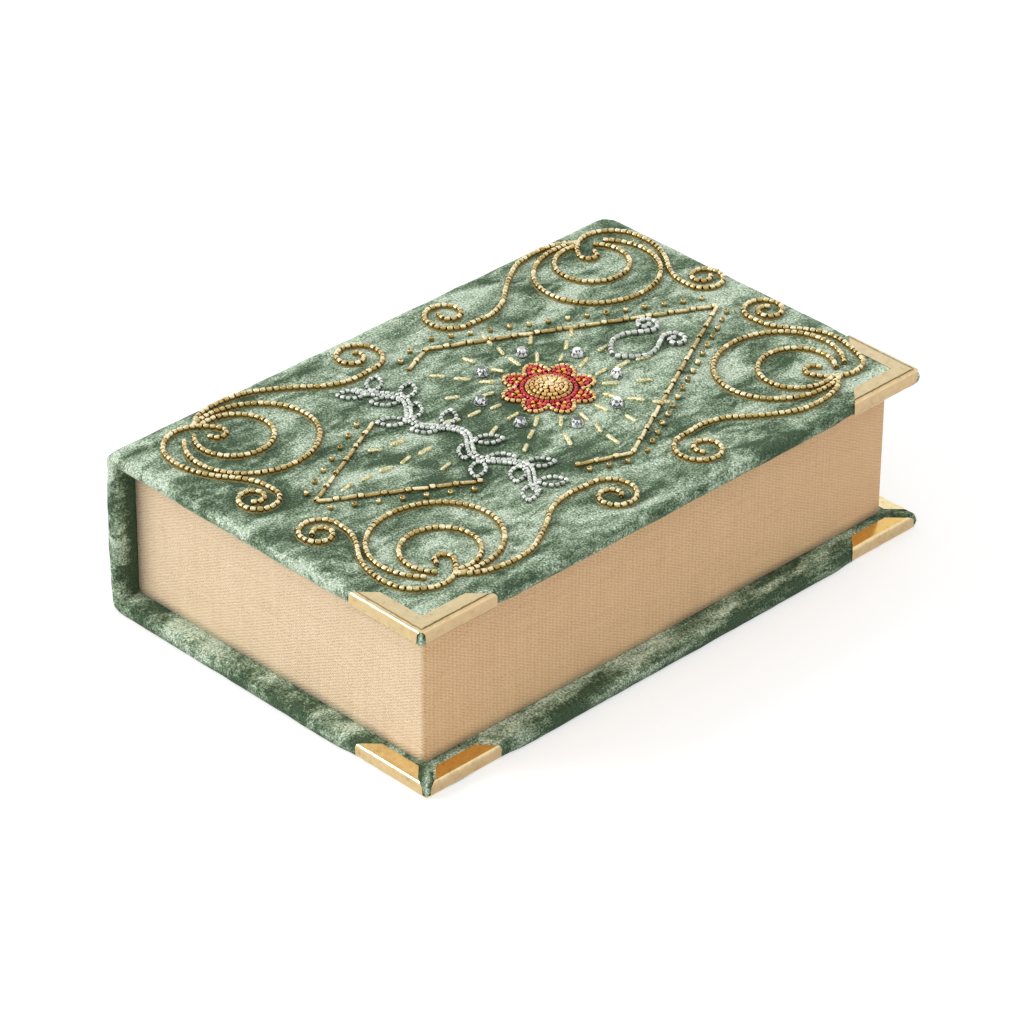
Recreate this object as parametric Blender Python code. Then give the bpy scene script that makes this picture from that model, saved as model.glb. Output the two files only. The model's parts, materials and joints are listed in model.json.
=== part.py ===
"""Book-shaped jewelry box: a lying book whose front cover is the lid, hinged along the spine by its cloth.

X runs from the spine to the fore edge, Y from the tail to the head, Z up. The origin is the centre of
the underside. The lid is modelled closed.
"""

import math

import bmesh
import bpy
from mathutils import Matrix, Vector

for old_object in list(bpy.data.objects):
    bpy.data.objects.remove(old_object, do_unlink=True)

# Driving dimensions of the book, in metres
BOOK_LENGTH = 0.203  # tail edge to head edge of both covers
BOOK_DEPTH = 0.134  # outer face of the spine to the fore edge of the back cover
BOOK_HEIGHT = 0.0542  # underside to the top face of the lid, closed
LID_SET_BACK = 0.002  # the lid's fore edge stays this far behind the back cover's

# Covers and spine
BOARD = 0.002  # greyboard
VELVET = 0.001  # crushed velvet with its pile
SEAT = 0.0002  # between pieces that touch
VELVET_ROUND = 0.0019  # rounding of the velvet at the cover edges
TURN_IN = 0.014  # velvet turned in and glued on the inner side
COVER = BOARD + 2 * (VELVET + SEAT)

# Tray that stands for the page block
TAIL_SQUARE = 0.0069  # cover past the block at the tail and at the head
FORE_SQUARE = 0.0084  # back cover past the block at the fore edge
WALL = 0.004
LINEN = 0.0008
LINEN_ROUND = 0.0014  # upright corners of the linen
LID_GAP = 0.0003  # lid above the block

# Inside of the tray
LINING = 0.001
FLOOR_BOARD = 0.002
FLOOR_LINING = 0.0016
DIVIDER = 0.003
DIVIDER_HEIGHT = 0.026
DIVIDER_ROUND = 0.0012
RING_BAY = 0.0445  # width of the ring compartment beside the fore edge
RING_ROLLS = 3
RING_ROLL_GAP = 0.0005
RING_PAD = 0.005
LONG_BAY = 0.104  # length of the longer open compartment
LID_PAD = 0.002
LID_PAD_MARGIN = 0.0016  # the lid's lining clears the tray's lining by this much

# Magnets
MAGNET_LENGTH = 0.012
MAGNET_WIDTH = 0.0024
MAGNET_THICK = 0.0014
MAGNET_PLAY = 0.0002
MAGNET_FROM_END = 0.045  # magnet's centre to the block's end

# Folded metal book corners
CORNER_LEG = 0.029
CORNER_BAND = 0.0063  # width of the outer plate's legs
CORNER_FLAP = 0.0054  # width of the flaps folded to the inner side
CORNER_METAL = 0.0005
CORNER_PROUD = 0.0003  # metal above the velvet
CORNER_TIP = 0.0012  # slit between the two edge flanges
CORNER_BEND = 0.0009
CORNER_PLAY = 0.0004  # pressed velvet shows this far past the metal
PRESSED_ROUND = 0.001  # edges of the velvet under the metal

# Beadwork
SEED = 0.00185  # diameter of a seed bead
BUGLE = 0.0019  # diameter of a bugle bead
STITCH = 0.0002  # bead above the velvet
STRAND_STEP = 0.0034  # length of one straight piece of a curved strand
CRYSTAL = 0.0044
CRYSTAL_HEIGHT = 0.0024

# Places worked out from the sizes above
HALF_LENGTH = BOOK_LENGTH / 2
RELIEF = STITCH + SEED  # bead strand above the velvet
SPINE_FACE = -(BOOK_DEPTH - RELIEF) / 2
FORE_FACE = SPINE_FACE + BOOK_DEPTH - CORNER_PROUD
LID_FORE_FACE = FORE_FACE - LID_SET_BACK
BASE_TOP = COVER
LID_BOTTOM = BOOK_HEIGHT - COVER
BLOCK_BOTTOM = BASE_TOP + SEAT
BLOCK_TOP = LID_BOTTOM - LID_GAP
BLOCK_HALF = HALF_LENGTH - TAIL_SQUARE
BLOCK_FORE = FORE_FACE - FORE_SQUARE
WALL_TOP = BLOCK_TOP - LINEN - SEAT
SPINE_INNER = SPINE_FACE + COVER
WALL_SPINE = SPINE_INNER + SEAT  # outer face of the wall behind the spine
WALL_FORE = BLOCK_FORE - LINEN - SEAT
WALL_HALF = BLOCK_HALF - LINEN - SEAT
ROOM_SPINE = WALL_SPINE + WALL + SEAT
ROOM_FORE = WALL_FORE - WALL - SEAT
ROOM_HALF = WALL_HALF - WALL - SEAT
BAY_SPINE = ROOM_SPINE + LINING
BAY_FORE = ROOM_FORE - LINING
BAY_HALF = ROOM_HALF - LINING
FLOOR_TOP = BLOCK_BOTTOM + FLOOR_BOARD
BAY_FLOOR = FLOOR_TOP + SEAT + FLOOR_LINING
HINGE_OUT = 0.0003  # the fold lies this far outside the spine's face
HINGE_X = SPINE_FACE - HINGE_OUT
HINGE_Z = LID_BOTTOM


# Shared steps


def material(name, colour, roughness, metallic=0.0):
    made = bpy.data.materials.new(name)
    made.use_nodes = True
    shader = made.node_tree.nodes["Principled BSDF"]
    shader.inputs["Base Color"].default_value = (*colour, 1.0)
    shader.inputs["Roughness"].default_value = roughness
    shader.inputs["Metallic"].default_value = metallic
    return made


def place(name, data, finish, parent):
    """Links a mesh or curve made in world coordinates and hangs it on the case or the lid."""
    made = bpy.data.objects.new(name, data)
    bpy.context.scene.collection.objects.link(made)
    if finish:
        data.materials.append(finish)
    if parent:
        made.parent = parent
        made.matrix_parent_inverse = Matrix.Translation(-parent.location)
    return made


def block_mesh(name, low, high):
    """A plain block between two corners."""
    low, high = Vector(low), Vector(high)
    form = bmesh.new()
    bmesh.ops.create_cube(form, size=1.0)
    bmesh.ops.scale(form, vec=high - low, verts=form.verts)
    bmesh.ops.translate(form, vec=(low + high) / 2, verts=form.verts)
    mesh = bpy.data.meshes.new(name)
    form.to_mesh(mesh)
    form.free()
    return mesh


def block(name, low, high, finish, parent, rounding=0.0, segments=2):
    made = place(name, block_mesh(name, low, high), finish, parent)
    if rounding:
        bevel = made.modifiers.new("rounding", "BEVEL")
        bevel.width = rounding
        bevel.segments = segments
    return made


def prism(name, outline, low_z, high_z, finish, parent):
    """An upright prism over a closed outline, given anticlockwise from above."""
    form = bmesh.new()
    floor = [form.verts.new((x, y, low_z)) for x, y in outline]
    face = form.faces.new(reversed(floor))
    raised = bmesh.ops.extrude_face_region(form, geom=[face])["geom"]
    tops = [item for item in raised if isinstance(item, bmesh.types.BMVert)]
    bmesh.ops.translate(form, vec=(0, 0, high_z - low_z), verts=tops)
    bmesh.ops.recalc_face_normals(form, faces=form.faces)
    mesh = bpy.data.meshes.new(name)
    form.to_mesh(mesh)
    form.free()
    return place(name, mesh, finish, parent)


def cutter_of(made):
    made.hide_render = True
    made.display_type = "WIRE"
    return made


def cut(target, cutter, operation="DIFFERENCE"):
    boolean = target.modifiers.new(operation.lower(), "BOOLEAN")
    boolean.operation = operation
    boolean.object = cutter_of(cutter)


# Materials

velvet_sage = material("velvet_sage", (0.30, 0.42, 0.33), 0.9)
greyboard = material("greyboard", (0.45, 0.42, 0.38), 0.9)
linen_peach = material("linen_peach", (0.78, 0.60, 0.40), 0.9)
lining_green = material("lining_green", (0.22, 0.33, 0.26), 0.9)
brass_antique = material("brass_antique", (0.80, 0.68, 0.46), 0.35, 1.0)
magnet_nickel = material("magnet_nickel", (0.60, 0.60, 0.58), 0.3, 1.0)
bead_gold = material("bead_gold", (0.72, 0.50, 0.20), 0.25, 0.6)
bead_silver = material("bead_silver", (0.85, 0.87, 0.86), 0.2, 0.5)
bead_amber = material("bead_amber", (0.75, 0.38, 0.10), 0.25, 0.3)
bead_red = material("bead_red", (0.60, 0.03, 0.05), 0.3, 0.2)
crystal_clear = material("crystal_clear", (0.90, 0.92, 0.93), 0.08, 0.3)

# The lid hangs on its hinge axis, everything else on the case

case = bpy.data.objects.new("case", None)
lid = bpy.data.objects.new("lid_hinge_axis", None)
lid.location = (HINGE_X, 0, HINGE_Z)
for frame in (case, lid):
    bpy.context.scene.collection.objects.link(frame)


# Folded metal book corners: one sheet with an outer plate, two edge flanges and two inner flaps


def corner_mesh(name, channel):
    """The sheet's outer surface. The tip is at the origin, the legs run along +X and +Y, and the
    channel opens downwards: the outer plate is at the top and the flaps lie at -channel."""
    flap_start = 2 * CORNER_TIP
    form = bmesh.new()
    half_plate = [
        (CORNER_TIP, 0),
        (CORNER_LEG, 0),
        (CORNER_LEG - CORNER_BAND, CORNER_BAND),
        (CORNER_BAND, CORNER_BAND),
    ]
    other_half = [(y, x) for x, y in reversed(half_plate[:-1])]
    tip = [(CORNER_TIP * 0.3, CORNER_TIP * 0.3)]
    plate = [form.verts.new((x, y, 0)) for x, y in half_plate + other_half + tip]
    form.faces.new(plate)
    for near, far, turn in ((plate[0], plate[1], False), (plate[-2], plate[-3], True)):
        flange = [(flap_start, 0), (CORNER_LEG, 0)]
        flap = [(CORNER_LEG - CORNER_FLAP, CORNER_FLAP), (flap_start + CORNER_FLAP, CORNER_FLAP)]
        rows = [(y, x) if turn else (x, y) for x, y in flange + flap]
        low_near, low_far, flap_far, flap_near = (form.verts.new((x, y, -channel)) for x, y in rows)
        form.faces.new((near, low_near, low_far, far))
        form.faces.new((low_near, flap_near, flap_far, low_far))
    bmesh.ops.recalc_face_normals(form, faces=form.faces)
    folds = [edge for edge in form.edges if len(edge.link_faces) == 2]
    bmesh.ops.bevel(
        form, geom=folds, offset=CORNER_BEND, segments=2, profile=0.5, affect="EDGES", clamp_overlap=True
    )
    mesh = bpy.data.meshes.new(name)
    form.to_mesh(mesh)
    form.free()
    return mesh


def metal_corner(name, tip, toward, top_up, parent):
    """tip is the outermost point of the outer plate, toward the Y direction of the leg on the fore edge."""
    channel = COVER + 2 * CORNER_PROUD if top_up else COVER + CORNER_PROUD
    made = place(name, corner_mesh(name, channel), brass_antique, None)
    up = 1 if top_up else -1
    axes = Matrix(((-1, 0, 0), (0, toward, 0), (0, 0, up))).to_4x4()
    made.data.transform(Matrix.Translation(tip) @ axes)
    if toward * up > 0:
        made.data.flip_normals()
    made.parent = parent
    made.matrix_parent_inverse = Matrix.Translation(-parent.location)
    sheet = made.modifiers.new("sheet", "SOLIDIFY")
    sheet.thickness = CORNER_METAL
    sheet.offset = -1
    sheet.use_even_offset = True
    sheet.use_quality_normals = True
    return made


def corner_relief(name, tip_x, side, low, high, low_flush, parent):
    """What is pressed out of the velvet under one metal corner: the legs' outline less a smaller core.
    low_flush says that the metal is level with the velvet underneath, and not proud of it."""
    reach = CORNER_LEG + CORNER_PLAY
    band = CORNER_BAND + CORNER_PLAY
    over = 2 * VELVET
    end_y = side * HALF_LENGTH
    legs = [
        (-over, -over),
        (reach + over, -over),
        (reach - band, band),
        (band, band),
        (band, reach - band),
        (-over, reach + over),
    ]
    outline = [(tip_x - u, end_y - side * v) for u, v in legs]
    if side > 0:
        outline.reverse()
    zone = prism(name, outline, low[2] - over, high[2] + over, None, parent)
    press = CORNER_METAL - CORNER_PROUD + SEAT
    core_low = [value + press for value in low]
    core_high = [value - press for value in high]
    if low_flush:
        core_low[2] += CORNER_PROUD
    core = block(name + "_core", core_low, core_high, None, parent, rounding=PRESSED_ROUND)
    cut(zone, core)
    return zone


# Covers: a board wrapped in velvet, with the velvet's edges turned in on the inner side


def wrapped_cover(name, low, high, inner, turn_in, parent):
    """inner is the axis and sign of the side on which the velvet is turned in."""
    low, high = Vector(low), Vector(high)
    skin = Vector((1, 1, 1)) * VELVET
    seat = Vector((1, 1, 1)) * SEAT
    board = block(name + "_board", low + skin + seat, high - skin - seat, greyboard, parent)
    velvet = block(
        name + "_velvet", low, high, velvet_sage, parent, rounding=VELVET_ROUND, segments=3
    )
    cut(velvet, block(name + "_cavity", low + skin, high - skin, None, parent))
    axis, sign = inner
    open_low, open_high = low + turn_in, high - turn_in
    middle = (low[axis] + high[axis]) / 2
    past = (high if sign > 0 else low)[axis] + sign * VELVET
    open_low[axis], open_high[axis] = sorted((middle, past))
    cut(velvet, block(name + "_opening", open_low, open_high, None, parent))
    return board, velvet


BASE_LOW = (SPINE_FACE, -HALF_LENGTH, 0)
BASE_HIGH = (FORE_FACE, HALF_LENGTH, BASE_TOP)
LID_LOW = (SPINE_FACE, -HALF_LENGTH, LID_BOTTOM)
LID_HIGH = (LID_FORE_FACE, HALF_LENGTH, BOOK_HEIGHT)
EVEN_TURN_IN = Vector((TURN_IN, TURN_IN, TURN_IN))

base_board, base_velvet = wrapped_cover("base", BASE_LOW, BASE_HIGH, (2, 1), EVEN_TURN_IN, case)
lid_board, lid_velvet = wrapped_cover("lid", LID_LOW, LID_HIGH, (2, -1), EVEN_TURN_IN, lid)

for end, side in (("tail", -1), ("head", 1)):
    base_relief = corner_relief(f"base_relief_{end}", FORE_FACE, side, BASE_LOW, BASE_HIGH, True, case)
    cut(base_velvet, base_relief)
    lid_relief = corner_relief(f"lid_relief_{end}", LID_FORE_FACE, side, LID_LOW, LID_HIGH, False, lid)
    cut(lid_velvet, lid_relief)
    end_y = side * (HALF_LENGTH + CORNER_PROUD)
    metal_corner(f"base_corner_{end}", (FORE_FACE + CORNER_PROUD, end_y, 0), -side, False, case)
    lid_tip = (LID_FORE_FACE + CORNER_PROUD, end_y, BOOK_HEIGHT + CORNER_PROUD)
    metal_corner(f"lid_corner_{end}", lid_tip, -side, True, lid)

# Spine: the same build, standing between the covers

SPINE_LOW = (SPINE_FACE, -HALF_LENGTH, BASE_TOP + SEAT)
SPINE_HIGH = (SPINE_INNER, HALF_LENGTH, BLOCK_TOP)
SPINE_END_MARGIN = VELVET + SEAT  # velvet turned in at the spine's top and bottom
spine_turn_in = Vector((0, TURN_IN, SPINE_END_MARGIN))
wrapped_cover("spine", SPINE_LOW, SPINE_HIGH, (0, 1), spine_turn_in, case)

# Cloth strip glued over the top of the wall behind the spine: the inside of the cloth hinge

hinge_strip_low = (WALL_SPINE, -WALL_HALF, WALL_TOP + SEAT)
hinge_strip_high = (WALL_SPINE + WALL, WALL_HALF, BLOCK_TOP)
block("hinge_strip", hinge_strip_low, hinge_strip_high, velvet_sage, case)

# Tray walls, with slots for the magnets in the fore-edge wall


def magnet_places():
    offset = BLOCK_HALF - MAGNET_FROM_END
    return (("tail", -offset), ("head", offset))


def magnet_size(centre, extra=0.0):
    size = Vector((MAGNET_WIDTH, MAGNET_LENGTH, MAGNET_THICK)) / 2 + Vector((extra, extra, extra))
    return Vector(centre) - size, Vector(centre) + size


def fore_corner(fore, half, rounding):
    """A rounded corner seen from above, from the fore edge to the head."""
    turn = [(math.cos(math.radians(a)), math.sin(math.radians(a))) for a in range(0, 91, 30)]
    return [(fore - rounding * (1 - c), half - rounding * (1 - s)) for c, s in turn]


between_walls = WALL_HALF - WALL - SEAT
for end, side in (("tail", -1), ("head", 1)):
    wall_corner = fore_corner(WALL_FORE, WALL_HALF, LINEN_ROUND - LINEN - SEAT)
    wall_outline = [(WALL_SPINE, WALL_HALF - WALL), (WALL_FORE, WALL_HALF - WALL), *wall_corner,
                    (WALL_SPINE, WALL_HALF)]
    wall_outline = [(x, side * y) for x, y in wall_outline][::side]
    prism(f"{end}_wall", wall_outline, BLOCK_BOTTOM, WALL_TOP, greyboard, case)
fore_edge_wall = block("fore_edge_wall", (WALL_FORE - WALL, -between_walls, BLOCK_BOTTOM),
                       (WALL_FORE, between_walls, WALL_TOP), greyboard, case)
block("spine_wall", (WALL_SPINE, -between_walls, BLOCK_BOTTOM),
      (WALL_SPINE + WALL, between_walls, WALL_TOP), greyboard, case)

for end, y in magnet_places():
    wall_centre = (WALL_FORE - WALL / 2, y, WALL_TOP - MAGNET_THICK / 2 - MAGNET_PLAY)
    block(f"case_magnet_{end}", *magnet_size(wall_centre), magnet_nickel, case)
    low, high = magnet_size(wall_centre, MAGNET_PLAY)
    cut(fore_edge_wall, block(f"case_slot_{end}", low, high + Vector((0, 0, WALL)), None, case))
    lid_low = LID_BOTTOM + VELVET + SEAT + MAGNET_PLAY
    lid_centre = (WALL_FORE - WALL / 2, y, lid_low + MAGNET_THICK / 2)
    block(f"lid_magnet_{end}", *magnet_size(lid_centre), magnet_nickel, lid)
    low, high = magnet_size(lid_centre, MAGNET_PLAY)
    cut(lid_board, block(f"lid_slot_{end}", low - Vector((0, 0, WALL)), high, None, lid))

# Linen: one strip round tail, fore edge and head, turned over the walls' top edges


def linen_outline(spine_end, fore, half, rounding):
    """The block seen from above, with rounded corners at the fore edge."""
    head = fore_corner(fore, half, rounding)
    tail = [(x, -y) for x, y in reversed(head)]
    return [(spine_end, -half), *tail, *head, (spine_end, half)]


page_linen = prism(
    "page_linen", linen_outline(WALL_SPINE, BLOCK_FORE, BLOCK_HALF, LINEN_ROUND),
    BLOCK_BOTTOM, BLOCK_TOP, linen_peach, case,
)
LINEN_PAST = 0.01  # the cutters run this far past the linen's open end
wall_space = linen_outline(WALL_SPINE - LINEN_PAST, BLOCK_FORE - LINEN, BLOCK_HALF - LINEN,
                           LINEN_ROUND - LINEN)
cut(page_linen, prism("linen_wall_space", wall_space, BLOCK_BOTTOM - LINEN_PAST,
                      BLOCK_TOP - LINEN, None, case))
room_low = (WALL_SPINE - LINEN_PAST, -ROOM_HALF - SEAT, BLOCK_BOTTOM)
room_high = (ROOM_FORE + SEAT, ROOM_HALF + SEAT, BLOCK_TOP + LINEN_PAST)
cut(page_linen, block("linen_room", room_low, room_high, None, case))
strip_clear = (hinge_strip_high[0] + SEAT, WALL_HALF + SEAT, BLOCK_TOP + LINEN_PAST)
strip_start = (WALL_SPINE - LINEN_PAST, -WALL_HALF - SEAT, WALL_TOP)
cut(page_linen, block("linen_strip_clear", strip_start, strip_clear, None, case))

# Floor and lining of the tray

block("tray_floor", (ROOM_SPINE, -ROOM_HALF, BLOCK_BOTTOM), (ROOM_FORE, ROOM_HALF, FLOOR_TOP),
      greyboard, case)
lining_bottom = FLOOR_TOP + SEAT
block("lining_tail", (ROOM_SPINE, -ROOM_HALF, lining_bottom), (ROOM_FORE, -BAY_HALF, WALL_TOP),
      lining_green, case)
block("lining_head", (ROOM_SPINE, BAY_HALF, lining_bottom), (ROOM_FORE, ROOM_HALF, WALL_TOP),
      lining_green, case)
side_lining = BAY_HALF - SEAT
block("lining_spine", (ROOM_SPINE, -side_lining, lining_bottom), (BAY_SPINE, side_lining, WALL_TOP),
      lining_green, case)
block("lining_fore_edge", (BAY_FORE, -side_lining, lining_bottom), (ROOM_FORE, side_lining, WALL_TOP),
      lining_green, case)
block("floor_lining", (BAY_SPINE + SEAT, -side_lining, lining_bottom),
      (BAY_FORE - SEAT, side_lining, BAY_FLOOR), lining_green, case)

# Dividers: a long one beside the ring compartment, and one across the rest

divider_top = BAY_FLOOR + SEAT + DIVIDER_HEIGHT
long_divider_fore = BAY_FORE - RING_BAY
long_divider_spine = long_divider_fore - DIVIDER
block("long_divider", (long_divider_spine, -side_lining, BAY_FLOOR + SEAT),
      (long_divider_fore, side_lining, divider_top), lining_green, case, rounding=DIVIDER_ROUND)
cross_divider_y = -BAY_HALF + LONG_BAY
block("cross_divider", (BAY_SPINE + SEAT, cross_divider_y, BAY_FLOOR + SEAT),
      (long_divider_spine - SEAT, cross_divider_y + DIVIDER, divider_top), lining_green, case,
      rounding=DIVIDER_ROUND)

# Ring compartment: a pad and soft rolls lying side by side on it

ring_pad_top = BAY_FLOOR + SEAT + RING_PAD
block("ring_pad", (long_divider_fore + SEAT, -side_lining, BAY_FLOOR + SEAT),
      (BAY_FORE - SEAT, side_lining, ring_pad_top), lining_green, case)


def roll_mesh(name, radius, half_length):
    """A stuffed roll lying along Y: full in the middle, drawn in and domed at both ends."""
    ends = ((1.0, 0.25), (0.985, 0.72), (0.94, 0.93), (0.72, 1.0))
    profile = [(half_length * along, radius * thick) for along, thick in ends]
    profile += [(-along, thick) for along, thick in reversed(profile)]
    form = bmesh.new()
    line = [form.verts.new((thick, along, 0)) for along, thick in profile]
    edges = [form.edges.new(pair) for pair in zip(line, line[1:])]
    bmesh.ops.spin(form, geom=line + edges, axis=(0, 1, 0), cent=(0, 0, 0), dvec=(0, 0, 0),
                   angle=2 * math.pi, steps=16, use_merge=True)
    bmesh.ops.remove_doubles(form, verts=form.verts, dist=1e-6)
    open_rims = [edge for edge in form.edges if len(edge.link_faces) == 1]
    bmesh.ops.holes_fill(form, edges=open_rims)
    bmesh.ops.recalc_face_normals(form, faces=form.faces)
    mesh = bpy.data.meshes.new(name)
    form.to_mesh(mesh)
    form.free()
    return mesh


ring_room = RING_BAY - 2 * SEAT
roll_pitch = ring_room / RING_ROLLS
roll_radius = (roll_pitch - RING_ROLL_GAP) / 2
for number in range(RING_ROLLS):
    roll_name = f"ring_roll_{number + 1}"
    roll_data = roll_mesh(roll_name, roll_radius, side_lining - SEAT)
    roll_x = long_divider_fore + SEAT + roll_pitch * (number + 0.5)
    roll_data.transform(Matrix.Translation((roll_x, 0, ring_pad_top + SEAT + roll_radius)))
    roll = place(roll_name, roll_data, lining_green, case)
    roll.data.shade_smooth()

# Lining inside the lid: a padded card that drops into the tray's opening

lid_pad_top = LID_BOTTOM - SEAT
block("lid_lining", (BAY_SPINE + LID_PAD_MARGIN, -BAY_HALF + LID_PAD_MARGIN, lid_pad_top - LID_PAD),
      (BAY_FORE - LID_PAD_MARGIN, BAY_HALF - LID_PAD_MARGIN, lid_pad_top), lining_green, lid,
      rounding=LID_PAD * 0.45)


# Bead strands: a thread full of beads is a round rod in relief on the velvet


def smooth_line(points, step=STRAND_STEP):
    """Evenly stepped points on a smooth curve through the given ones."""
    points = [Vector(point) for point in points]
    padded = [2 * points[0] - points[1], *points, 2 * points[-1] - points[-2]]
    line = []
    for before, start, end, after in zip(padded, padded[1:], padded[2:], padded[3:]):
        pieces = max(1, round((end - start).length / step))
        for piece in range(pieces):
            t = piece / pieces
            line.append(
                0.5 * (2 * start + (end - before) * t + (2 * before - 5 * start + 4 * end - after) * t**2
                       + (3 * start - before - 3 * end + after) * t**3)
            )
    return [*line, points[-1]]


def spiral(centre, end_centre, radius, end_radius, start, turns, step=STRAND_STEP):
    """Points that turn from start degrees, anticlockwise for positive turns, as the circle shrinks
    and its centre drifts."""
    centre, end_centre = Vector(centre), Vector(end_centre)
    length = abs(turns) * math.pi * (radius + end_radius)
    pieces = max(round(length / step), round(abs(turns) * 12))
    line = []
    for piece in range(pieces + 1):
        t = piece / pieces
        angle = math.radians(start) + 2 * math.pi * turns * t
        arm = Vector((math.cos(angle), math.sin(angle))) * (radius + (end_radius - radius) * t)
        line.append(centre.lerp(end_centre, t) + arm)
    return line


def strand(name, points, thickness, finish, parent, sides=0):
    """A rod through the given points in space."""
    curve = bpy.data.curves.new(name, "CURVE")
    curve.dimensions = "3D"
    curve.twist_mode = "Z_UP"
    curve.bevel_depth = thickness / 2
    curve.bevel_resolution = sides
    curve.use_fill_caps = True
    line = curve.splines.new("POLY")
    line.points.add(len(points) - 1)
    for point, place_at in zip(line.points, points):
        point.co = (*place_at, 1)
    return place(name, curve, finish, parent)


DRAWN_DEPTH = 0.1317  # the ornament is drawn for a lid of this size, and spreads with the real one
DRAWN_LENGTH = 0.203
LID_DEPTH = LID_FORE_FACE - SPINE_FACE
OFF_MIDDLE = 0.00145  # the ornament's centre line lies this much nearer the spine than the lid's
ORNAMENT_MIDDLE = DRAWN_DEPTH / 2 - OFF_MIDDLE


def on_plan(across, along):
    """From the drawing, across the centre line and along from the middle, to the real lid's X and Y."""
    x = SPINE_FACE + (ORNAMENT_MIDDLE + across) * LID_DEPTH / DRAWN_DEPTH
    return x, along * BOOK_LENGTH / DRAWN_LENGTH


def on_lid(points, thickness):
    """Lifts points of the drawing onto the velvet, at the height of a strand's middle."""
    height = BOOK_HEIGHT + STITCH + thickness / 2
    return [(*on_plan(across, along), height) for across, along in points]


def as_mesh(made):
    """Turns a curve object into a mesh object, which a Boolean can join to."""
    view = bpy.context.evaluated_depsgraph_get()
    mesh = bpy.data.meshes.new_from_object(made.evaluated_get(view))
    name, parent = made.name, made.parent
    bpy.data.objects.remove(made)
    return place(name, mesh, None, parent)


# Corner scrolls. Each is drawn in four strands that meet at one knot: an edge strand, a side strand
# and two crescents. A point is a share of the scroll's reach from the lid's side edge, and a distance
# from its end edge.

SCROLL_CLEAR = 0.0147  # middle of an end volute to the ornament's centre line
SCROLL_REACH = ORNAMENT_MIDDLE - SCROLL_CLEAR
END_VOLUTE = (1.0, 0.0069)
END_VOLUTE_EYE = (0.976, 0.0065)
END_VOLUTE_RADIUS = 0.0069
EDGE_SWEEP = (
    (0.875, 0.0132), (0.765, 0.0106), (0.654, 0.0066), (0.533, 0.0039), (0.392, 0.0029),
    (0.252, 0.0044), (0.161, 0.0088), (0.127, 0.0142), (0.155, 0.0196), (0.221, 0.0232),
    (0.294, 0.0253), (0.350, 0.0240), (0.352, 0.0212), (0.310, 0.0199),
)
SIDE_VOLUTE = (0.252, 0.0795)
SIDE_VOLUTE_EYE = (0.229, 0.0788)
SIDE_VOLUTE_RADIUS = 0.0086
SIDE_SWEEP = (
    (0.159, 0.0202), (0.101, 0.0235), (0.070, 0.0280), (0.064, 0.0350), (0.097, 0.0428),
    (0.173, 0.0494), (0.268, 0.0558), (0.368, 0.0620), (0.427, 0.0695),
)
VOLUTE_EYE = 0.0022  # radius at the inner end of a volute
VOLUTE_TURNS = 1.35
OUTER_CRESCENT = ((0.489, 0.0279), (0.370, 0.0204))  # centre, half widths
INNER_CRESCENT = ((0.392, 0.0253), (0.227, 0.0118))
CRESCENT_START = -130  # degrees, from the side edge's direction
CRESCENT_END = 201
STRAND_RISE = 0.00006  # each strand of a scroll lies this much higher at the knot
METAL_CLEAR = 0.0014  # middle of a strand to a metal corner
SCROLL_SHIFTS = {
    # from the side and the end edge at the knot, then from both at the side volute
    "head_spine": ((0.0014, 0.0006), (0.0009, 0.0006)),
    "head_fore": ((0.0053, 0.0014), (0.0008, 0.0000)),
    "tail_spine": ((0.0011, 0.0060), (0.0000, 0.0074)),
    "tail_fore": ((0.0066, 0.0068), (0.0008, 0.0082)),
}


def ellipse_arc(centre, half_widths, start, end, step=STRAND_STEP):
    """Points on part of an ellipse, from start to end degrees."""
    sweep = math.radians(end - start)
    pieces = round(abs(sweep) * sum(half_widths) / 2 / step)
    angles = [math.radians(start) + sweep * piece / pieces for piece in range(pieces + 1)]
    return [
        (centre[0] + half_widths[0] * math.cos(a), centre[1] + half_widths[1] * math.sin(a))
        for a in angles
    ]


def drawn(*points):
    """Points of a scroll as distances from the lid's side edge and from its end edge."""
    return [(share * SCROLL_REACH, from_end) for share, from_end in points]


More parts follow.
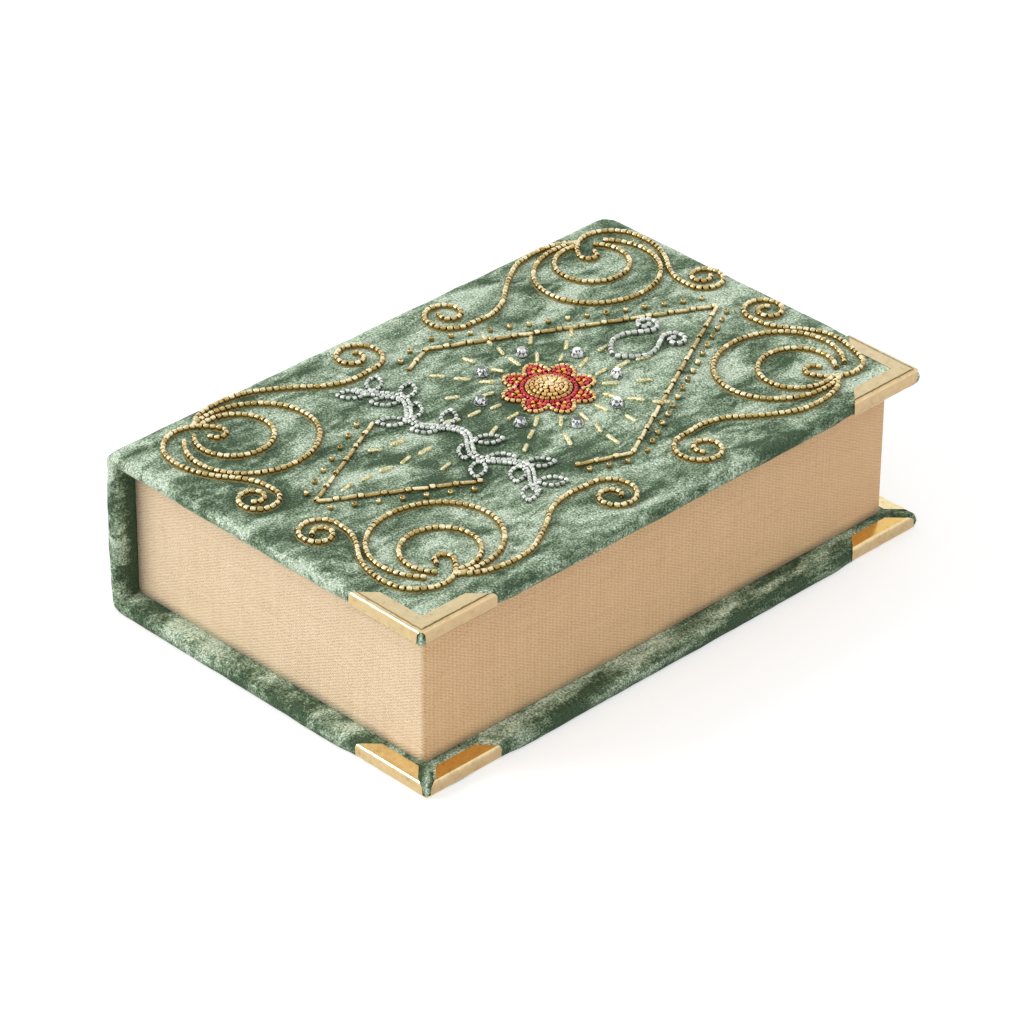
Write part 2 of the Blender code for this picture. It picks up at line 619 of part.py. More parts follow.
def corner_scroll(end, side_name):
    """Mirrors the drawing to one corner of the lid and joins its strands at the knot."""
    fore = side_name == "fore"
    knot_shift, volute_shift = [Vector(shift) for shift in SCROLL_SHIFTS[f"{end}_{side_name}"]]

    def on_corner(point, shift=knot_shift):
        """From the two margins of the drawing to the real lid's X and Y, clear of the metal corner."""
        from_side = (point[0] + shift.x) * LID_DEPTH / DRAWN_DEPTH
        from_end = (point[1] + shift.y) * BOOK_LENGTH / DRAWN_LENGTH
        if fore:
            from_end = max(from_end, min(CORNER_BAND, CORNER_LEG - from_side) + METAL_CLEAR)
        x = LID_FORE_FACE - from_side if fore else SPINE_FACE + from_side
        y = HALF_LENGTH - from_end
        return Vector((x, y if end == "head" else -y))

    end_centres = drawn(END_VOLUTE, END_VOLUTE_EYE)
    end_volute = spiral(*end_centres, END_VOLUTE_RADIUS, VOLUTE_EYE, 90, -VOLUTE_TURNS)
    end_volute = [on_corner(point) for point in end_volute]
    edge_sweep = smooth_line([end_volute[0], *[on_corner(point) for point in drawn(*EDGE_SWEEP)]])
    strands = [[*reversed(end_volute[1:]), *edge_sweep]]

    side_centres = drawn(SIDE_VOLUTE, SIDE_VOLUTE_EYE)
    side_volute = spiral(*side_centres, SIDE_VOLUTE_RADIUS, VOLUTE_EYE, -12, VOLUTE_TURNS)
    side_volute = [on_corner(point, volute_shift) for point in side_volute]
    start, stop = SIDE_SWEEP[0][1], SIDE_SWEEP[-1][1]
    side_sweep = [
        on_corner(point, knot_shift.lerp(volute_shift, (point[1] - start) / (stop - start)))
        for point in drawn(*SIDE_SWEEP)
    ]
    strands.append([*smooth_line([*side_sweep, side_volute[0]]), *side_volute[1:]])

    for crescent in (OUTER_CRESCENT, INNER_CRESCENT):
        arc = ellipse_arc(*drawn(*crescent), CRESCENT_START, CRESCENT_END)
        strands.append([on_corner(point) for point in arc])

    rods = []
    for number, points in enumerate(strands):
        height = BOOK_HEIGHT + STITCH + SEED / 2 + number * STRAND_RISE
        placed = [(point.x, point.y, height) for point in points]
        name = f"scroll_{end}_{side_name}"
        if number:
            name = f"{name}_strand_{number}"
        rods.append(as_mesh(strand(name, placed, SEED, bead_gold, lid)))
    for rod in rods[1:]:
        cut(rods[0], rod, "UNION")


for end in ("tail", "head"):
    for side_name in ("spine", "fore"):
        corner_scroll(end, side_name)

# Lozenge of bugle beads, open where the garland crosses it

LOZENGE_SIDE = 0.0222  # its side corners from the lid's edge
LOZENGE_HALF = ORNAMENT_MIDDLE - LOZENGE_SIDE
LOZENGE_WAIST = 0.0060  # side corners from the middle of the lid's length
LOZENGE_HEAD = 0.0847
LOZENGE_TAIL = -0.0770
STUB_END = -0.0080  # the sides stop above the garland
STUB_IN = 0.0055
TAIL_START = -0.0375  # and go on below it
TAIL_START_HALF = 0.0215

head_half = [(-LOZENGE_HALF + STUB_IN, STUB_END), (-LOZENGE_HALF, LOZENGE_WAIST), (0, LOZENGE_HEAD)]
head_line = head_half + [(-x, y) for x, y in reversed(head_half[:-1])]
tail_line = [(-TAIL_START_HALF, TAIL_START), (0, LOZENGE_TAIL), (TAIL_START_HALF, TAIL_START)]
for name, line in (("lozenge_head", head_line), ("lozenge_tail", tail_line)):
    strand(name, on_lid(line, BUGLE), BUGLE, bead_gold, lid)

# Rosette: a domed centre of amber beads in a ring of red petals, with crystals round it

ROSETTE_Y = 0.0140
ROSETTE_CENTRE = 0.0072
ROSETTE_PETAL_TIP = 0.0150
ROSETTE_PETALS = 8
ROSETTE_HEIGHT = 0.0026
CRYSTAL_RING = 0.0215
CRYSTALS = 8
bead_floor = BOOK_HEIGHT + STITCH
rosette_spot = Vector((*on_plan(0, ROSETTE_Y), bead_floor))


def dome_mesh(name, radius, height, sides, rings):
    """A low dome on a flat round base, its top ring a shade flat."""
    form = bmesh.new()
    line = [form.verts.new((radius, 0, 0))]
    for ring in range(1, rings + 1):
        angle = math.pi / 2 * ring / (rings + 0.5)
        line.append(form.verts.new((radius * math.cos(angle), 0, height * math.sin(angle))))
    edges = [form.edges.new(pair) for pair in zip(line, line[1:])]
    bmesh.ops.spin(form, geom=line + edges, axis=(0, 0, 1), cent=(0, 0, 0), dvec=(0, 0, 0),
                   angle=2 * math.pi, steps=sides, use_merge=True)
    bmesh.ops.remove_doubles(form, verts=form.verts, dist=1e-6)
    open_rims = [edge for edge in form.edges if len(edge.link_faces) == 1]
    bmesh.ops.holes_fill(form, edges=open_rims)
    bmesh.ops.recalc_face_normals(form, faces=form.faces)
    mesh = bpy.data.meshes.new(name)
    form.to_mesh(mesh)
    form.free()
    return mesh


centre_data = dome_mesh("medallion_centre", ROSETTE_CENTRE, ROSETTE_HEIGHT, 20, 3)
centre_data.transform(Matrix.Translation(rosette_spot))
place("medallion_centre", centre_data, bead_amber, lid)

PETAL_STEPS = 8  # points on one petal's edge
HOLE_SIDES = 20


def round_rosette(radius, angle):
    """A point at a distance and a direction from the rosette's centre, seen from above."""
    return rosette_spot.x + radius * math.cos(angle), rosette_spot.y + radius * math.sin(angle)


petal_outline = []
petal_root = ROSETTE_CENTRE + 2 * SEED
for number in range(ROSETTE_PETALS * PETAL_STEPS):
    angle = 2 * math.pi * number / (ROSETTE_PETALS * PETAL_STEPS)
    swell = abs(math.sin(ROSETTE_PETALS * angle / 2))
    petal_outline.append(round_rosette(petal_root + (ROSETTE_PETAL_TIP - petal_root) * swell, angle))
petals = prism("medallion_petals", petal_outline, bead_floor, bead_floor + SEED, bead_red, lid)
petal_hole = [
    round_rosette(ROSETTE_CENTRE + SEAT, 2 * math.pi * number / HOLE_SIDES)
    for number in range(HOLE_SIDES)
]
cut(petals, prism("petal_hole", petal_hole, bead_floor - SEED, bead_floor + 2 * SEED, None, lid))

for number in range(CRYSTALS):
    name = f"crystal_{number + 1}"
    data = dome_mesh(name, CRYSTAL / 2, CRYSTAL_HEIGHT, 8, 2)
    spot = round_rosette(CRYSTAL_RING, 2 * math.pi * (number + 0.5) / CRYSTALS)
    data.transform(Matrix.Translation((*spot, bead_floor)))
    place(name, data, crystal_clear, lid)

# Garland: a waving stem of silver-lined beads with bead leaves on both sides

GARLAND_Y = -0.0245
GARLAND_CLEAR = 0.0048  # its ends to the side volutes
GARLAND_SIDE = SIDE_VOLUTE[0] * SCROLL_REACH + SIDE_VOLUTE_RADIUS + GARLAND_CLEAR
GARLAND_HALF = ORNAMENT_MIDDLE - GARLAND_SIDE
GARLAND_WAVE = 0.0035
GARLAND_WAVES = 3
GARLAND_STEPS = 30
GARLAND_LEAVES = 8
LEAF_LENGTH = 0.0105
LEAF_WIDTH = 0.0050
LEAF_LEAN = 52  # degrees off the stem
LEAF_SUNK = 0.0002  # leaves are this much flatter than the stem, above and below


def garland_point(along):
    """along runs from -1 to 1 over the garland."""
    return GARLAND_HALF * along, GARLAND_Y + GARLAND_WAVE * math.cos(math.pi * GARLAND_WAVES * along)


def leaf_outline(root, direction):
    """A pointed oval from its root, anticlockwise."""
    out = Vector((math.cos(direction), math.sin(direction)))
    across = Vector((-out.y, out.x))
    shape = ((0, 0), (0.25, -0.38), (0.55, -0.5), (0.82, -0.3), (1, 0), (0.82, 0.3), (0.55, 0.5),
             (0.25, 0.38))
    return [root + out * LEAF_LENGTH * a + across * LEAF_WIDTH * b for a, b in shape]


garland_line = [garland_point(-1 + 2 * step / GARLAND_STEPS) for step in range(GARLAND_STEPS + 1)]
garland = as_mesh(strand("silver_garland", on_lid(garland_line, SEED), SEED, bead_silver, lid))
for number in range(GARLAND_LEAVES):
    along = -1 + 2 * (number + 0.5) / GARLAND_LEAVES
    root = Vector(on_plan(*garland_point(along)))
    heading = math.radians(LEAF_LEAN if along > 0 else 180 - LEAF_LEAN)
    for side_word, up in (("lower", -1), ("upper", 1)):
        outline = [tuple(point) for point in leaf_outline(root, up * heading)]
        leaf = prism(f"leaf_{side_word}_{number}", outline, bead_floor + LEAF_SUNK,
                     bead_floor + SEED - LEAF_SUNK, None, lid)
        cut(garland, leaf, "UNION")

# Lyre between the rosette and the lozenge's point: two mirrored curls of silver-lined beads

LYRE_FOOT = (0.0013, 0.0415)  # across the centre line and along from the middle of the length
LYRE_SWEEP = ((0.0040, 0.0438), (0.0066, 0.0477), (0.0064, 0.0522), (0.0042, 0.0562))
LYRE_VOLUTE = (0.0062, 0.0607)
LYRE_RADIUS = 0.0041
LYRE_EYE = 0.0011
LYRE_TURNS = 1.1
LYRE_STEP = 0.0020

for side_name, side in (("spine", -1), ("fore", 1)):
    volute = spiral(LYRE_VOLUTE, LYRE_VOLUTE, LYRE_RADIUS, LYRE_EYE, 196, -LYRE_TURNS, LYRE_STEP)
    curl = smooth_line([LYRE_FOOT, *LYRE_SWEEP, volute[0]], LYRE_STEP) + volute[1:]
    placed = on_lid([(side * across, along) for across, along in curl], SEED)
    strand(f"silver_lyre_{side_name}", placed, SEED, bead_silver, lid)

# Bead line on the spine: a wave along its middle

SPINE_WAVE = 0.0100
SPINE_WAVE_HALF = 0.0720
SPINE_WAVES = 5
SPINE_WAVE_STEPS = 60

spine_line = []
spine_middle = (SPINE_LOW[2] + SPINE_HIGH[2]) / 2
for number in range(SPINE_WAVE_STEPS + 1):
    along = -1 + 2 * number / SPINE_WAVE_STEPS
    rise = SPINE_WAVE * math.cos(math.pi * SPINE_WAVES * along)
    spine_line.append((SPINE_FACE - STITCH - SEED / 2, SPINE_WAVE_HALF * along, spine_middle + rise))
spine_beads = strand("spine_beads", spine_line, SEED, bead_gold, case)
spine_beads.data.twist_mode = "MINIMUM"
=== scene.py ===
import json
import math

import bmesh
import bpy
from mathutils import Matrix, Vector, noise


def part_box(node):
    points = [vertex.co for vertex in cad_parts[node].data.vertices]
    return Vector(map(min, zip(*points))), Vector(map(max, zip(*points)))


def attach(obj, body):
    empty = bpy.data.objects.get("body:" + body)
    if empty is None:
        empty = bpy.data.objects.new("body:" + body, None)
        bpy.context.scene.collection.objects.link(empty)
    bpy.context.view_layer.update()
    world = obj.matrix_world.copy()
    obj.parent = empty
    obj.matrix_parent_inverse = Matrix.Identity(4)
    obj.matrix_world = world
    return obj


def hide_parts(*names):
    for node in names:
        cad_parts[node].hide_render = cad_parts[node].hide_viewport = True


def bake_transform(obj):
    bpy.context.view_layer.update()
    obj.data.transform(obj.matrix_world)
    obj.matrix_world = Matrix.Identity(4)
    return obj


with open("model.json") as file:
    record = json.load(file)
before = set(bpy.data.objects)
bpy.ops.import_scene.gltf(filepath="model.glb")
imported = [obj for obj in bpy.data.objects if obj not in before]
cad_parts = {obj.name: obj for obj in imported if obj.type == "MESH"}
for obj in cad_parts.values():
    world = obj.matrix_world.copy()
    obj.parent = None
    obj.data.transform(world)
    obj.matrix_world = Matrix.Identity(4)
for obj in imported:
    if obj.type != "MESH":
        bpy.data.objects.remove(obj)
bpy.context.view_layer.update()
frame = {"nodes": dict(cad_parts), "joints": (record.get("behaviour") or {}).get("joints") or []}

nodes = frame["nodes"]

# Boards: the covers, the spine and the tray are cut from grey bookbinder's board and glued.
# They are hidden by cloth all round, so only their cut, pressed surface needs a finish.


def add(tree, kind, values=None, **settings):
    """Adds a node. values are the numbers or links of its inputs, settings its own properties."""
    made = tree.nodes.new(kind)
    for name, value in settings.items():
        setattr(made, name, value)
    for socket, value in (values or {}).items():
        if isinstance(value, bpy.types.NodeSocket):
            tree.links.new(value, made.inputs[socket])
        else:
            made.inputs[socket].default_value = value
    return made


def finish_of(name, **constants):
    """A new material with its tree, its shader and its Object coordinates."""
    made = bpy.data.materials.new(name)
    made.use_nodes = True
    tree = made.node_tree
    shader = tree.nodes["Principled BSDF"]
    for socket, value in constants.items():
        shader.inputs[socket.replace("_", " ")].default_value = value
    return made, tree, shader, add(tree, "ShaderNodeTexCoord").outputs["Object"]


def ramp(tree, factor, stops):
    """A colour ramp with its stops as (position, colour)."""
    made = add(tree, "ShaderNodeValToRGB", {"Fac": factor})
    points = made.color_ramp.elements
    while len(points) < len(stops):
        points.new(1.0)
    for point, (position, colour) in zip(points, stops):
        point.position = position
        point.color = (*colour, 1.0)
    return made.outputs["Color"]


def bump(tree, height, distance, strength=1.0):
    made = add(tree, "ShaderNodeBump", {"Height": height, "Distance": distance, "Strength": strength})
    return made.outputs["Normal"]


def feed(shader, colour, roughness=None, normal=None):
    """Links to a shader what changes over the surface."""
    for socket, source in (("Base Color", colour), ("Roughness", roughness), ("Normal", normal)):
        if source is not None:
            shader.id_data.links.new(source, shader.inputs[socket])


def noise_of(tree, vector, scale, detail=2.0, roughness=0.5, distortion=0.0):
    made = add(tree, "ShaderNodeTexNoise", {"Vector": vector, "Scale": scale, "Detail": detail,
                                            "Roughness": roughness, "Distortion": distortion})
    return made.outputs["Fac"]


board_finish, tree, shader, place_on = finish_of("greyboard", Roughness=0.9)
pulp = noise_of(tree, place_on, scale=900.0, detail=4.0, roughness=0.7)
feed(shader, ramp(tree, pulp, [(0.3, (0.30, 0.28, 0.25)), (0.7, (0.50, 0.47, 0.42))]),
     normal=bump(tree, pulp, distance=0.0001))


def finish_node(node, finish):
    """Gives a CAD node that stays its finish."""
    nodes[node].data.materials.clear()
    nodes[node].data.materials.append(finish)


for board in ("base_board", "lid_board", "spine_board", "tail_wall", "head_wall", "fore_edge_wall",
              "spine_wall", "tray_floor"):
    finish_node(board, board_finish)

# Covers and spine: crushed velvet glued round each board, with its edges turned in on the inner side.
# The pile lies this way and that, so it is pale where it leans to the light and dark elsewhere, and
# it stands open and pale over the rounded edges. Both are painted into the colour, and along the edges
# a painted sheen pales some sides while painted shade darkens others and the spine's inner face.

VELVET_ROUND = 0.0021
VELVET_THICK = 0.0008
VELVET_GRID = 0.0016  # spacing of the cloth's points
EDGE_BAND = 0.0052  # an edge's bend opens the pile over this width, where the edges' painted sheen and shade lie
FORE_SHADE_FROM = 0.0012  # the fore face's painted shade starts this distance off the ends
CLOTH_WAVE = 0.00016  # height of the cloth's unevenness
LUMPS, RIPPLES = 95, 260  # noise cells per metre in it
FOLD_ROUND = 0.0004  # edges that meet at the hinge
RESTING_ROUND = 0.0008  # edges the box rests on
SPINE_ROUND = 0.0036  # the lid's upper edge at the spine
FULLNESS = 0.0009  # the covers' edges swell outwards by this between the brass corners
SPINE_BULGE = 0.0014  # the padded spine stands out by this at its middle
SPINE_WINDOW = 0.009  # the board shows inside this margin at the spine's long edges
GRAIN_TONE = 1.3  # how far the fine grain shifts the nap's tone
GRAIN_LIGHT = 3.4  # and how far it lightens and darkens it


def steps_between(low, high, rounding, spacing):
    """Positions from low to high, close together over the rounded ends."""
    near = [0.0, 0.25 * rounding, 0.55 * rounding, rounding, 1.6 * rounding]
    room = high - low - 2 * near[-1]
    if room <= 0:
        return [low + (high - low) * share for share in (0, 0.12, 0.28, 0.5, 0.72, 0.88, 1)]
    pieces = max(1, round(room / spacing))
    inner = [low + near[-1] + room * piece / pieces for piece in range(1, pieces)]
    return [*(low + step for step in near), *inner, *(high - step for step in reversed(near))]


def eased(value):
    """0 to 1, with soft ends."""
    value = min(1.0, max(0.0, value))
    return value * value * (3 - 2 * value)


def mesh_from(form, name, smooth=True):
    """The finished mesh of a bmesh, with its faces turned outwards."""
    bmesh.ops.recalc_face_normals(form, faces=form.faces)
    mesh = bpy.data.meshes.new(name)
    form.to_mesh(mesh)
    form.free()
    if smooth:
        mesh.shade_smooth()
    return mesh


def soft_slab(name, low, high, rounding, spacing, window=None, wave=CLOTH_WAVE, seed=0.0, edges=(),
              pale=(0.0, 0.0, 0.0, 0.0), pressed=0.0, swelling=None):
    """A slab with round edges and a slightly uneven skin, as a grid. window is the axis, the side and
    the margins of an opening in one face. edges lists edges with another radius, each by its two
    (axis, side) faces. pale opens the pile along the spine, fore, tail and head edges and paints light
    there, a painted sheen where it is positive and painted shade where it is negative. pressed darkens
    the fore face away from its ends with painted shade, and swelling moves points outwards."""
    low, high = Vector(low), Vector(high)
    lines = [steps_between(low[axis], high[axis], rounding, spacing) for axis in range(3)]
    counts = [len(line) for line in lines]
    form = bmesh.new()
    pile_light_layer = form.verts.layers.float.new("edge_pile")
    corners = {}

    def corner(index):
        if index not in corners:
            sharp = Vector(lines[axis][index[axis]] for axis in range(3))
            radius = rounding
            for first_face, second_face, own_radius in edges:
                far = max(sharp[axis] - low[axis] if side < 0 else high[axis] - sharp[axis]
                          for axis, side in (first_face, second_face))
                third = 3 - first_face[0] - second_face[0]
                to_end = min(sharp[third] - low[third], high[third] - sharp[third])
                near = 1 - eased((far - own_radius) / rounding)
                if own_radius < rounding:
                    near *= eased((to_end - rounding) / rounding)
                radius += (own_radius - radius) * near
            core = Vector(
                min(max(sharp[axis], low[axis] + radius), high[axis] - radius) for axis in range(3)
            )
            way = (sharp - core).normalized()
            point = core + way * radius
            if swelling:
                point += swelling(sharp, way)
            sway = noise.noise(point * LUMPS + Vector((seed, 0, 0))) + noise.noise(point * RIPPLES) * 0.5
            point += way * sway * wave
            made = form.verts.new((point.x, point.y, max(0.0, point.z)))  # the table presses it flat
            gaps = (sharp.x - low.x, high.x - sharp.x, sharp.y - low.y, high.y - sharp.y)
            nearness = [max(0.0, 1 - gap / EDGE_BAND) for gap in gaps]
            depths = sorted(min(sharp[axis] - low[axis], high[axis] - sharp[axis]) for axis in range(3))
            to_edge = depths[1]
            # Painted light along the edges: each side's pale value fades in toward that edge, a painted
            # sheen on the open pile where positive and painted shade where negative.
            opened = sum(tone * share for tone, share in zip(pale, nearness)) / max(1.0, sum(nearness))
            # Painted shade on the fore face, which lies in shadow, starting away from the ends.
            dark = pressed * nearness[1] ** 2 * eased((min(gaps[2:]) - FORE_SHADE_FROM) / EDGE_BAND)
            made[pile_light_layer] = opened * max(0.0, 1 - to_edge / EDGE_BAND) - dark
            corners[index] = made
        return corners[index]

    for axis in range(3):
        first, second = [other for other in range(3) if other != axis]
        for side in (0, counts[axis] - 1):
            for a in range(counts[first] - 1):
                for b in range(counts[second] - 1):
                    middle = {first: (lines[first][a] + lines[first][a + 1]) / 2,
                              second: (lines[second][b] + lines[second][b + 1]) / 2}
                    if window and axis == window[0] and (side > 0) == (window[1] > 0):
                        inside = all(low[other] + window[2][other] < middle[other]
                                     < high[other] - window[2][other] for other in (first, second))
                        if inside:
                            continue
                    ring = []
                    for step_a, step_b in ((0, 0), (1, 0), (1, 1), (0, 1)):
                        index = [0, 0, 0]
                        index[axis], index[first], index[second] = side, a + step_a, b + step_b
                        ring.append(corner(tuple(index)))
                    form.faces.new(ring)
    return mesh_from(form, name)


def placed(name, data):
    """A new object in the scene."""
    made = bpy.data.objects.new(name, data)
    bpy.context.scene.collection.objects.link(made)
    return made


def piece_of(name, mesh, finish):
    mesh.materials.clear()
    mesh.materials.append(finish)
    return placed(name, mesh)


def evaluated_mesh(made):
    """A plain mesh of an object as its modifiers show it."""
    view = bpy.context.evaluated_depsgraph_get()
    return bpy.data.meshes.new_from_object(made.evaluated_get(view))


def bake_modifiers(made):
    """Replaces an object's mesh by its evaluated one, without modifiers."""
    mesh = evaluated_mesh(made)
    made.modifiers.clear()
    made.data = mesh
    return made


def thicken(made, thickness):
    """Gives an outer skin its thickness, inwards."""
    shell = made.modifiers.new("shell", "SOLIDIFY")
    shell.thickness = thickness
    shell.offset = -1
    return bake_modifiers(made)


def effect(name, inputs, outputs):
    """A shader node group with named sockets. Inputs are numbers with their defaults."""
    tree = bpy.data.node_groups.new(name, "ShaderNodeTree")
    tree.interface.new_socket("Vector", in_out="INPUT", socket_type="NodeSocketVector")
    for socket, default in inputs.items():
        made = tree.interface.new_socket(socket, in_out="INPUT", socket_type="NodeSocketFloat")
        made.default_value = default
    for socket in outputs:
        tree.interface.new_socket(socket, in_out="OUTPUT", socket_type="NodeSocketFloat")
    start = tree.nodes.new("NodeGroupInput")
    end = tree.nodes.new("NodeGroupOutput")
    return tree, start.outputs, end.inputs


def place_effect(tree, group, values):
    return add(tree, "ShaderNodeGroup", values, node_tree=group).outputs


def arithmetic(tree, operation, *values):
    made = add(tree, "ShaderNodeMath", dict(enumerate(values)), operation=operation)
    return made.outputs[0]


pile, inside, result = effect(
    "crushed_pile", {"Cloud": 30.0, "Patch": 52.0, "Streak": 210.0, "Grain": 1750.0}, ("Nap", "Grain")
)


def side_lit(vector, scale, shift, distortion):
    """The slope of a noise toward the light, as folds in the nap show it."""
    lit = add(pile, "ShaderNodeVectorMath", {0: vector, 1: shift}, operation="ADD").outputs[0]
    here, there = [noise_of(pile, spot, scale, detail=3.0, roughness=0.55, distortion=distortion)
                   for spot in (vector, lit)]
    return arithmetic(pile, "SUBTRACT", here, there)


brushed = add(pile, "ShaderNodeMapping", {"Vector": inside["Vector"], "Rotation": (0.0, 0.5, 0.62),
                                          "Scale": (1.0, 0.5, 1.0)}).outputs["Vector"]
cloud = noise_of(pile, brushed, inside["Cloud"], distortion=0.6)
broad = side_lit(brushed, inside["Patch"], shift=(0.0052, 0.0012, 0.0023), distortion=1.1)
narrow = side_lit(brushed, inside["Streak"], shift=(0.0015, 0.0004, 0.0006), distortion=0.8)
fibres = noise_of(pile, inside["Vector"], inside["Grain"], roughness=0.75)
leaning = arithmetic(pile, "MULTIPLY_ADD", broad, 2.15, 0.5)
leaning = arithmetic(pile, "MULTIPLY_ADD", narrow, 1.3, leaning)
leaning = arithmetic(pile, "MULTIPLY_ADD", arithmetic(pile, "SUBTRACT", cloud, 0.5), 1.1, leaning)
pile.links.new(leaning, result["Nap"])
pile.links.new(fibres, result["Grain"])


def tinted(tree, colour, tint, factor=1.0):
    """A colour multiplied by another one, as far as factor says."""
    made = add(tree, "ShaderNodeMix", {"Factor": factor, "A": colour, "B": tint},
               data_type="RGBA", blend_type="MULTIPLY")
    return made.outputs["Result"]


def stored(tree, name):
    """The value that a mesh keeps under a name."""
    return add(tree, "ShaderNodeAttribute", attribute_name=name).outputs["Fac"]


def velvet_finish(name, dark, middle, pale, bright, contrast=1.0):
    """Crushed velvet. The nap's lean picks the tone. edge_pile pales it where a bend opens the pile and
    where a painted sheen lies, and darkens it with painted shade along other edges and faces."""
    made, tree, shader, place_on = finish_of(
        name, Roughness=0.92, Sheen_Weight=0.15, Sheen_Roughness=0.4, Sheen_Tint=(*pale, 1.0)
    )
    velvet = place_effect(tree, pile, {"Vector": place_on})
    painted_edge_light = stored(tree, "edge_pile")
    tone_share, light_share = GRAIN_TONE * contrast, GRAIN_LIGHT * contrast
    speck = arithmetic(tree, "MULTIPLY_ADD", velvet["Grain"], tone_share, -tone_share / 2)
    lean = arithmetic(tree, "ADD", velvet["Nap"], speck)
    lean = arithmetic(tree, "MULTIPLY_ADD", painted_edge_light, 0.42, lean)
    toned = ramp(tree, lean, [(0.12, dark), (0.38, middle), (0.62, pale), (0.94, bright)])
    lit = arithmetic(tree, "MULTIPLY_ADD", velvet["Grain"], light_share, 1 - light_share / 2)
    height = arithmetic(tree, "MULTIPLY_ADD", velvet["Nap"], 0.6, velvet["Grain"])
    feed(shader, tinted(tree, toned, lit), normal=bump(tree, height, distance=0.0003, strength=0.6))
    return made


velvet = velvet_finish("crushed_velvet", (0.044, 0.083, 0.040), (0.132, 0.196, 0.117),
                       (0.262, 0.350, 0.238), (0.500, 0.600, 0.465))

TURN_IN = 0.014
base_low, base_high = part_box("base_velvet")
spine_low, spine_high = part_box("spine_velvet")
lid_low, lid_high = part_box("lid_velvet")
spine_face = lid_low.x
spine_middle = (base_low.z + lid_low.z) / 2
spine_half = (lid_low.z - base_low.z) / 2
corner_low, corner_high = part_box("lid_corner_tail")
leg_reach = corner_high.x - corner_low.x
SKIN = 0.0005  # the spine's cloth runs on down over the base's edge, this much outside it
LEG_EASE = 0.008  # the covers' fullness starts over this length past the brass


def spine_bulge(height):
    """How far the padded spine stands out at a height."""
    return SPINE_BULGE * max(0.0, 1 - ((height - spine_middle) / spine_half) ** 2)


def cover_swelling(low, high):
    """Outwards along the tail, head and fore edges, but not under the brass corners."""
    def push(sharp, way):
        along_end = abs(way.y) > abs(way.x)
        from_tip = high.x - sharp.x if along_end else min(sharp.y - low.y, high.y - sharp.y)
        return Vector((max(0.0, way.x), way.y, 0)) * FULLNESS * eased((from_tip - leg_reach) / LEG_EASE)
    return push


def spine_swelling(sharp, way):
    return Vector((min(0.0, way.x) * spine_bulge(sharp.z), way.y * FULLNESS, 0))


SPINE, FORE, TAIL, HEAD, BOTTOM, TOP = (0, -1), (0, 1), (1, -1), (1, 1), (2, -1), (2, 1)
resting = [(side, BOTTOM, RESTING_ROUND) for side in (SPINE, FORE, TAIL, HEAD)]
# pale gives each cover's spine, fore, tail and head edges their painted light: sheen where positive, shade
# where negative.
covers = (
    soft_slab("base_cover_velvet", base_low + Vector((SKIN, 0, 0)), base_high, VELVET_ROUND, VELVET_GRID,
              window=(2, 1, (TURN_IN, TURN_IN, 0)), edges=resting, pale=(0.5, -0.5, -0.7, 0.2),
              swelling=cover_swelling(base_low, base_high)),
    # pressed paints shade on the spine's inner face, beside the page block, where it lies in shadow.
    soft_slab("spine_cover_velvet", (spine_low.x, spine_low.y + SKIN / 2, base_low.z),
              (spine_high.x, spine_high.y - SKIN / 2, spine_high.z), VELVET_ROUND, VELVET_GRID,
              window=(0, 1, (0, TURN_IN, SPINE_WINDOW)), seed=7.0,
              edges=[(SPINE, TOP, FOLD_ROUND), (SPINE, BOTTOM, RESTING_ROUND)],
              pale=(0.8, 0.2, 0.6, 0.5), pressed=1.7, swelling=spine_swelling),
    soft_slab("lid_cover_velvet", lid_low, lid_high, VELVET_ROUND, VELVET_GRID,
              window=(2, -1, (TURN_IN, TURN_IN, 0)), seed=13.0,
              edges=[(SPINE, BOTTOM, FOLD_ROUND), (SPINE, TOP, SPINE_ROUND)],
              pale=(0.8, -0.35, 1.2, 0.5), swelling=cover_swelling(lid_low, lid_high)),
)
for slab, node, body in zip(covers, ("base_velvet", "spine_velvet", "lid_velvet"), ("case", "case", "lid")):
    cloth = thicken(piece_of(slab.name, slab, velvet), VELVET_THICK)
    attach(cloth, body)
    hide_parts(node)

# Hinge: the velvet runs on from the spine over the lid's edge in one piece, so the cover folds there.
# A second strip of the same cloth is glued inside, from the top of the spine wall to the lid.

HINGE_REACH = 0.0025  # each way from the fold
HINGE_PROUD = 0.00014
HINGE_TUCK = 0.0007  # its long edges sink this far into the pile
HINGE_CLOTH = 0.0004
HINGE_ROWS = 14
HINGE_WRAP = 0.0048  # its ends run round the corners and sink in here
HINGE_TURN = 0.0026  # radius round those corners
HINGE_STEP = 0.0016  # along the fold
FOLD_OPEN_SHEEN = 0.5  # the bend opens the pile by this, its paleness partly a painted sheen
STRIP_ROUND = 0.0003
STRIP_GRID = 0.002
STRIP_WAVE = 0.00002
ROUNDING_STEPS = 6  # parts that a plan line's rounded corner is drawn in

joint = frame["joints"][0]
fold = Vector(joint["pos_m"])


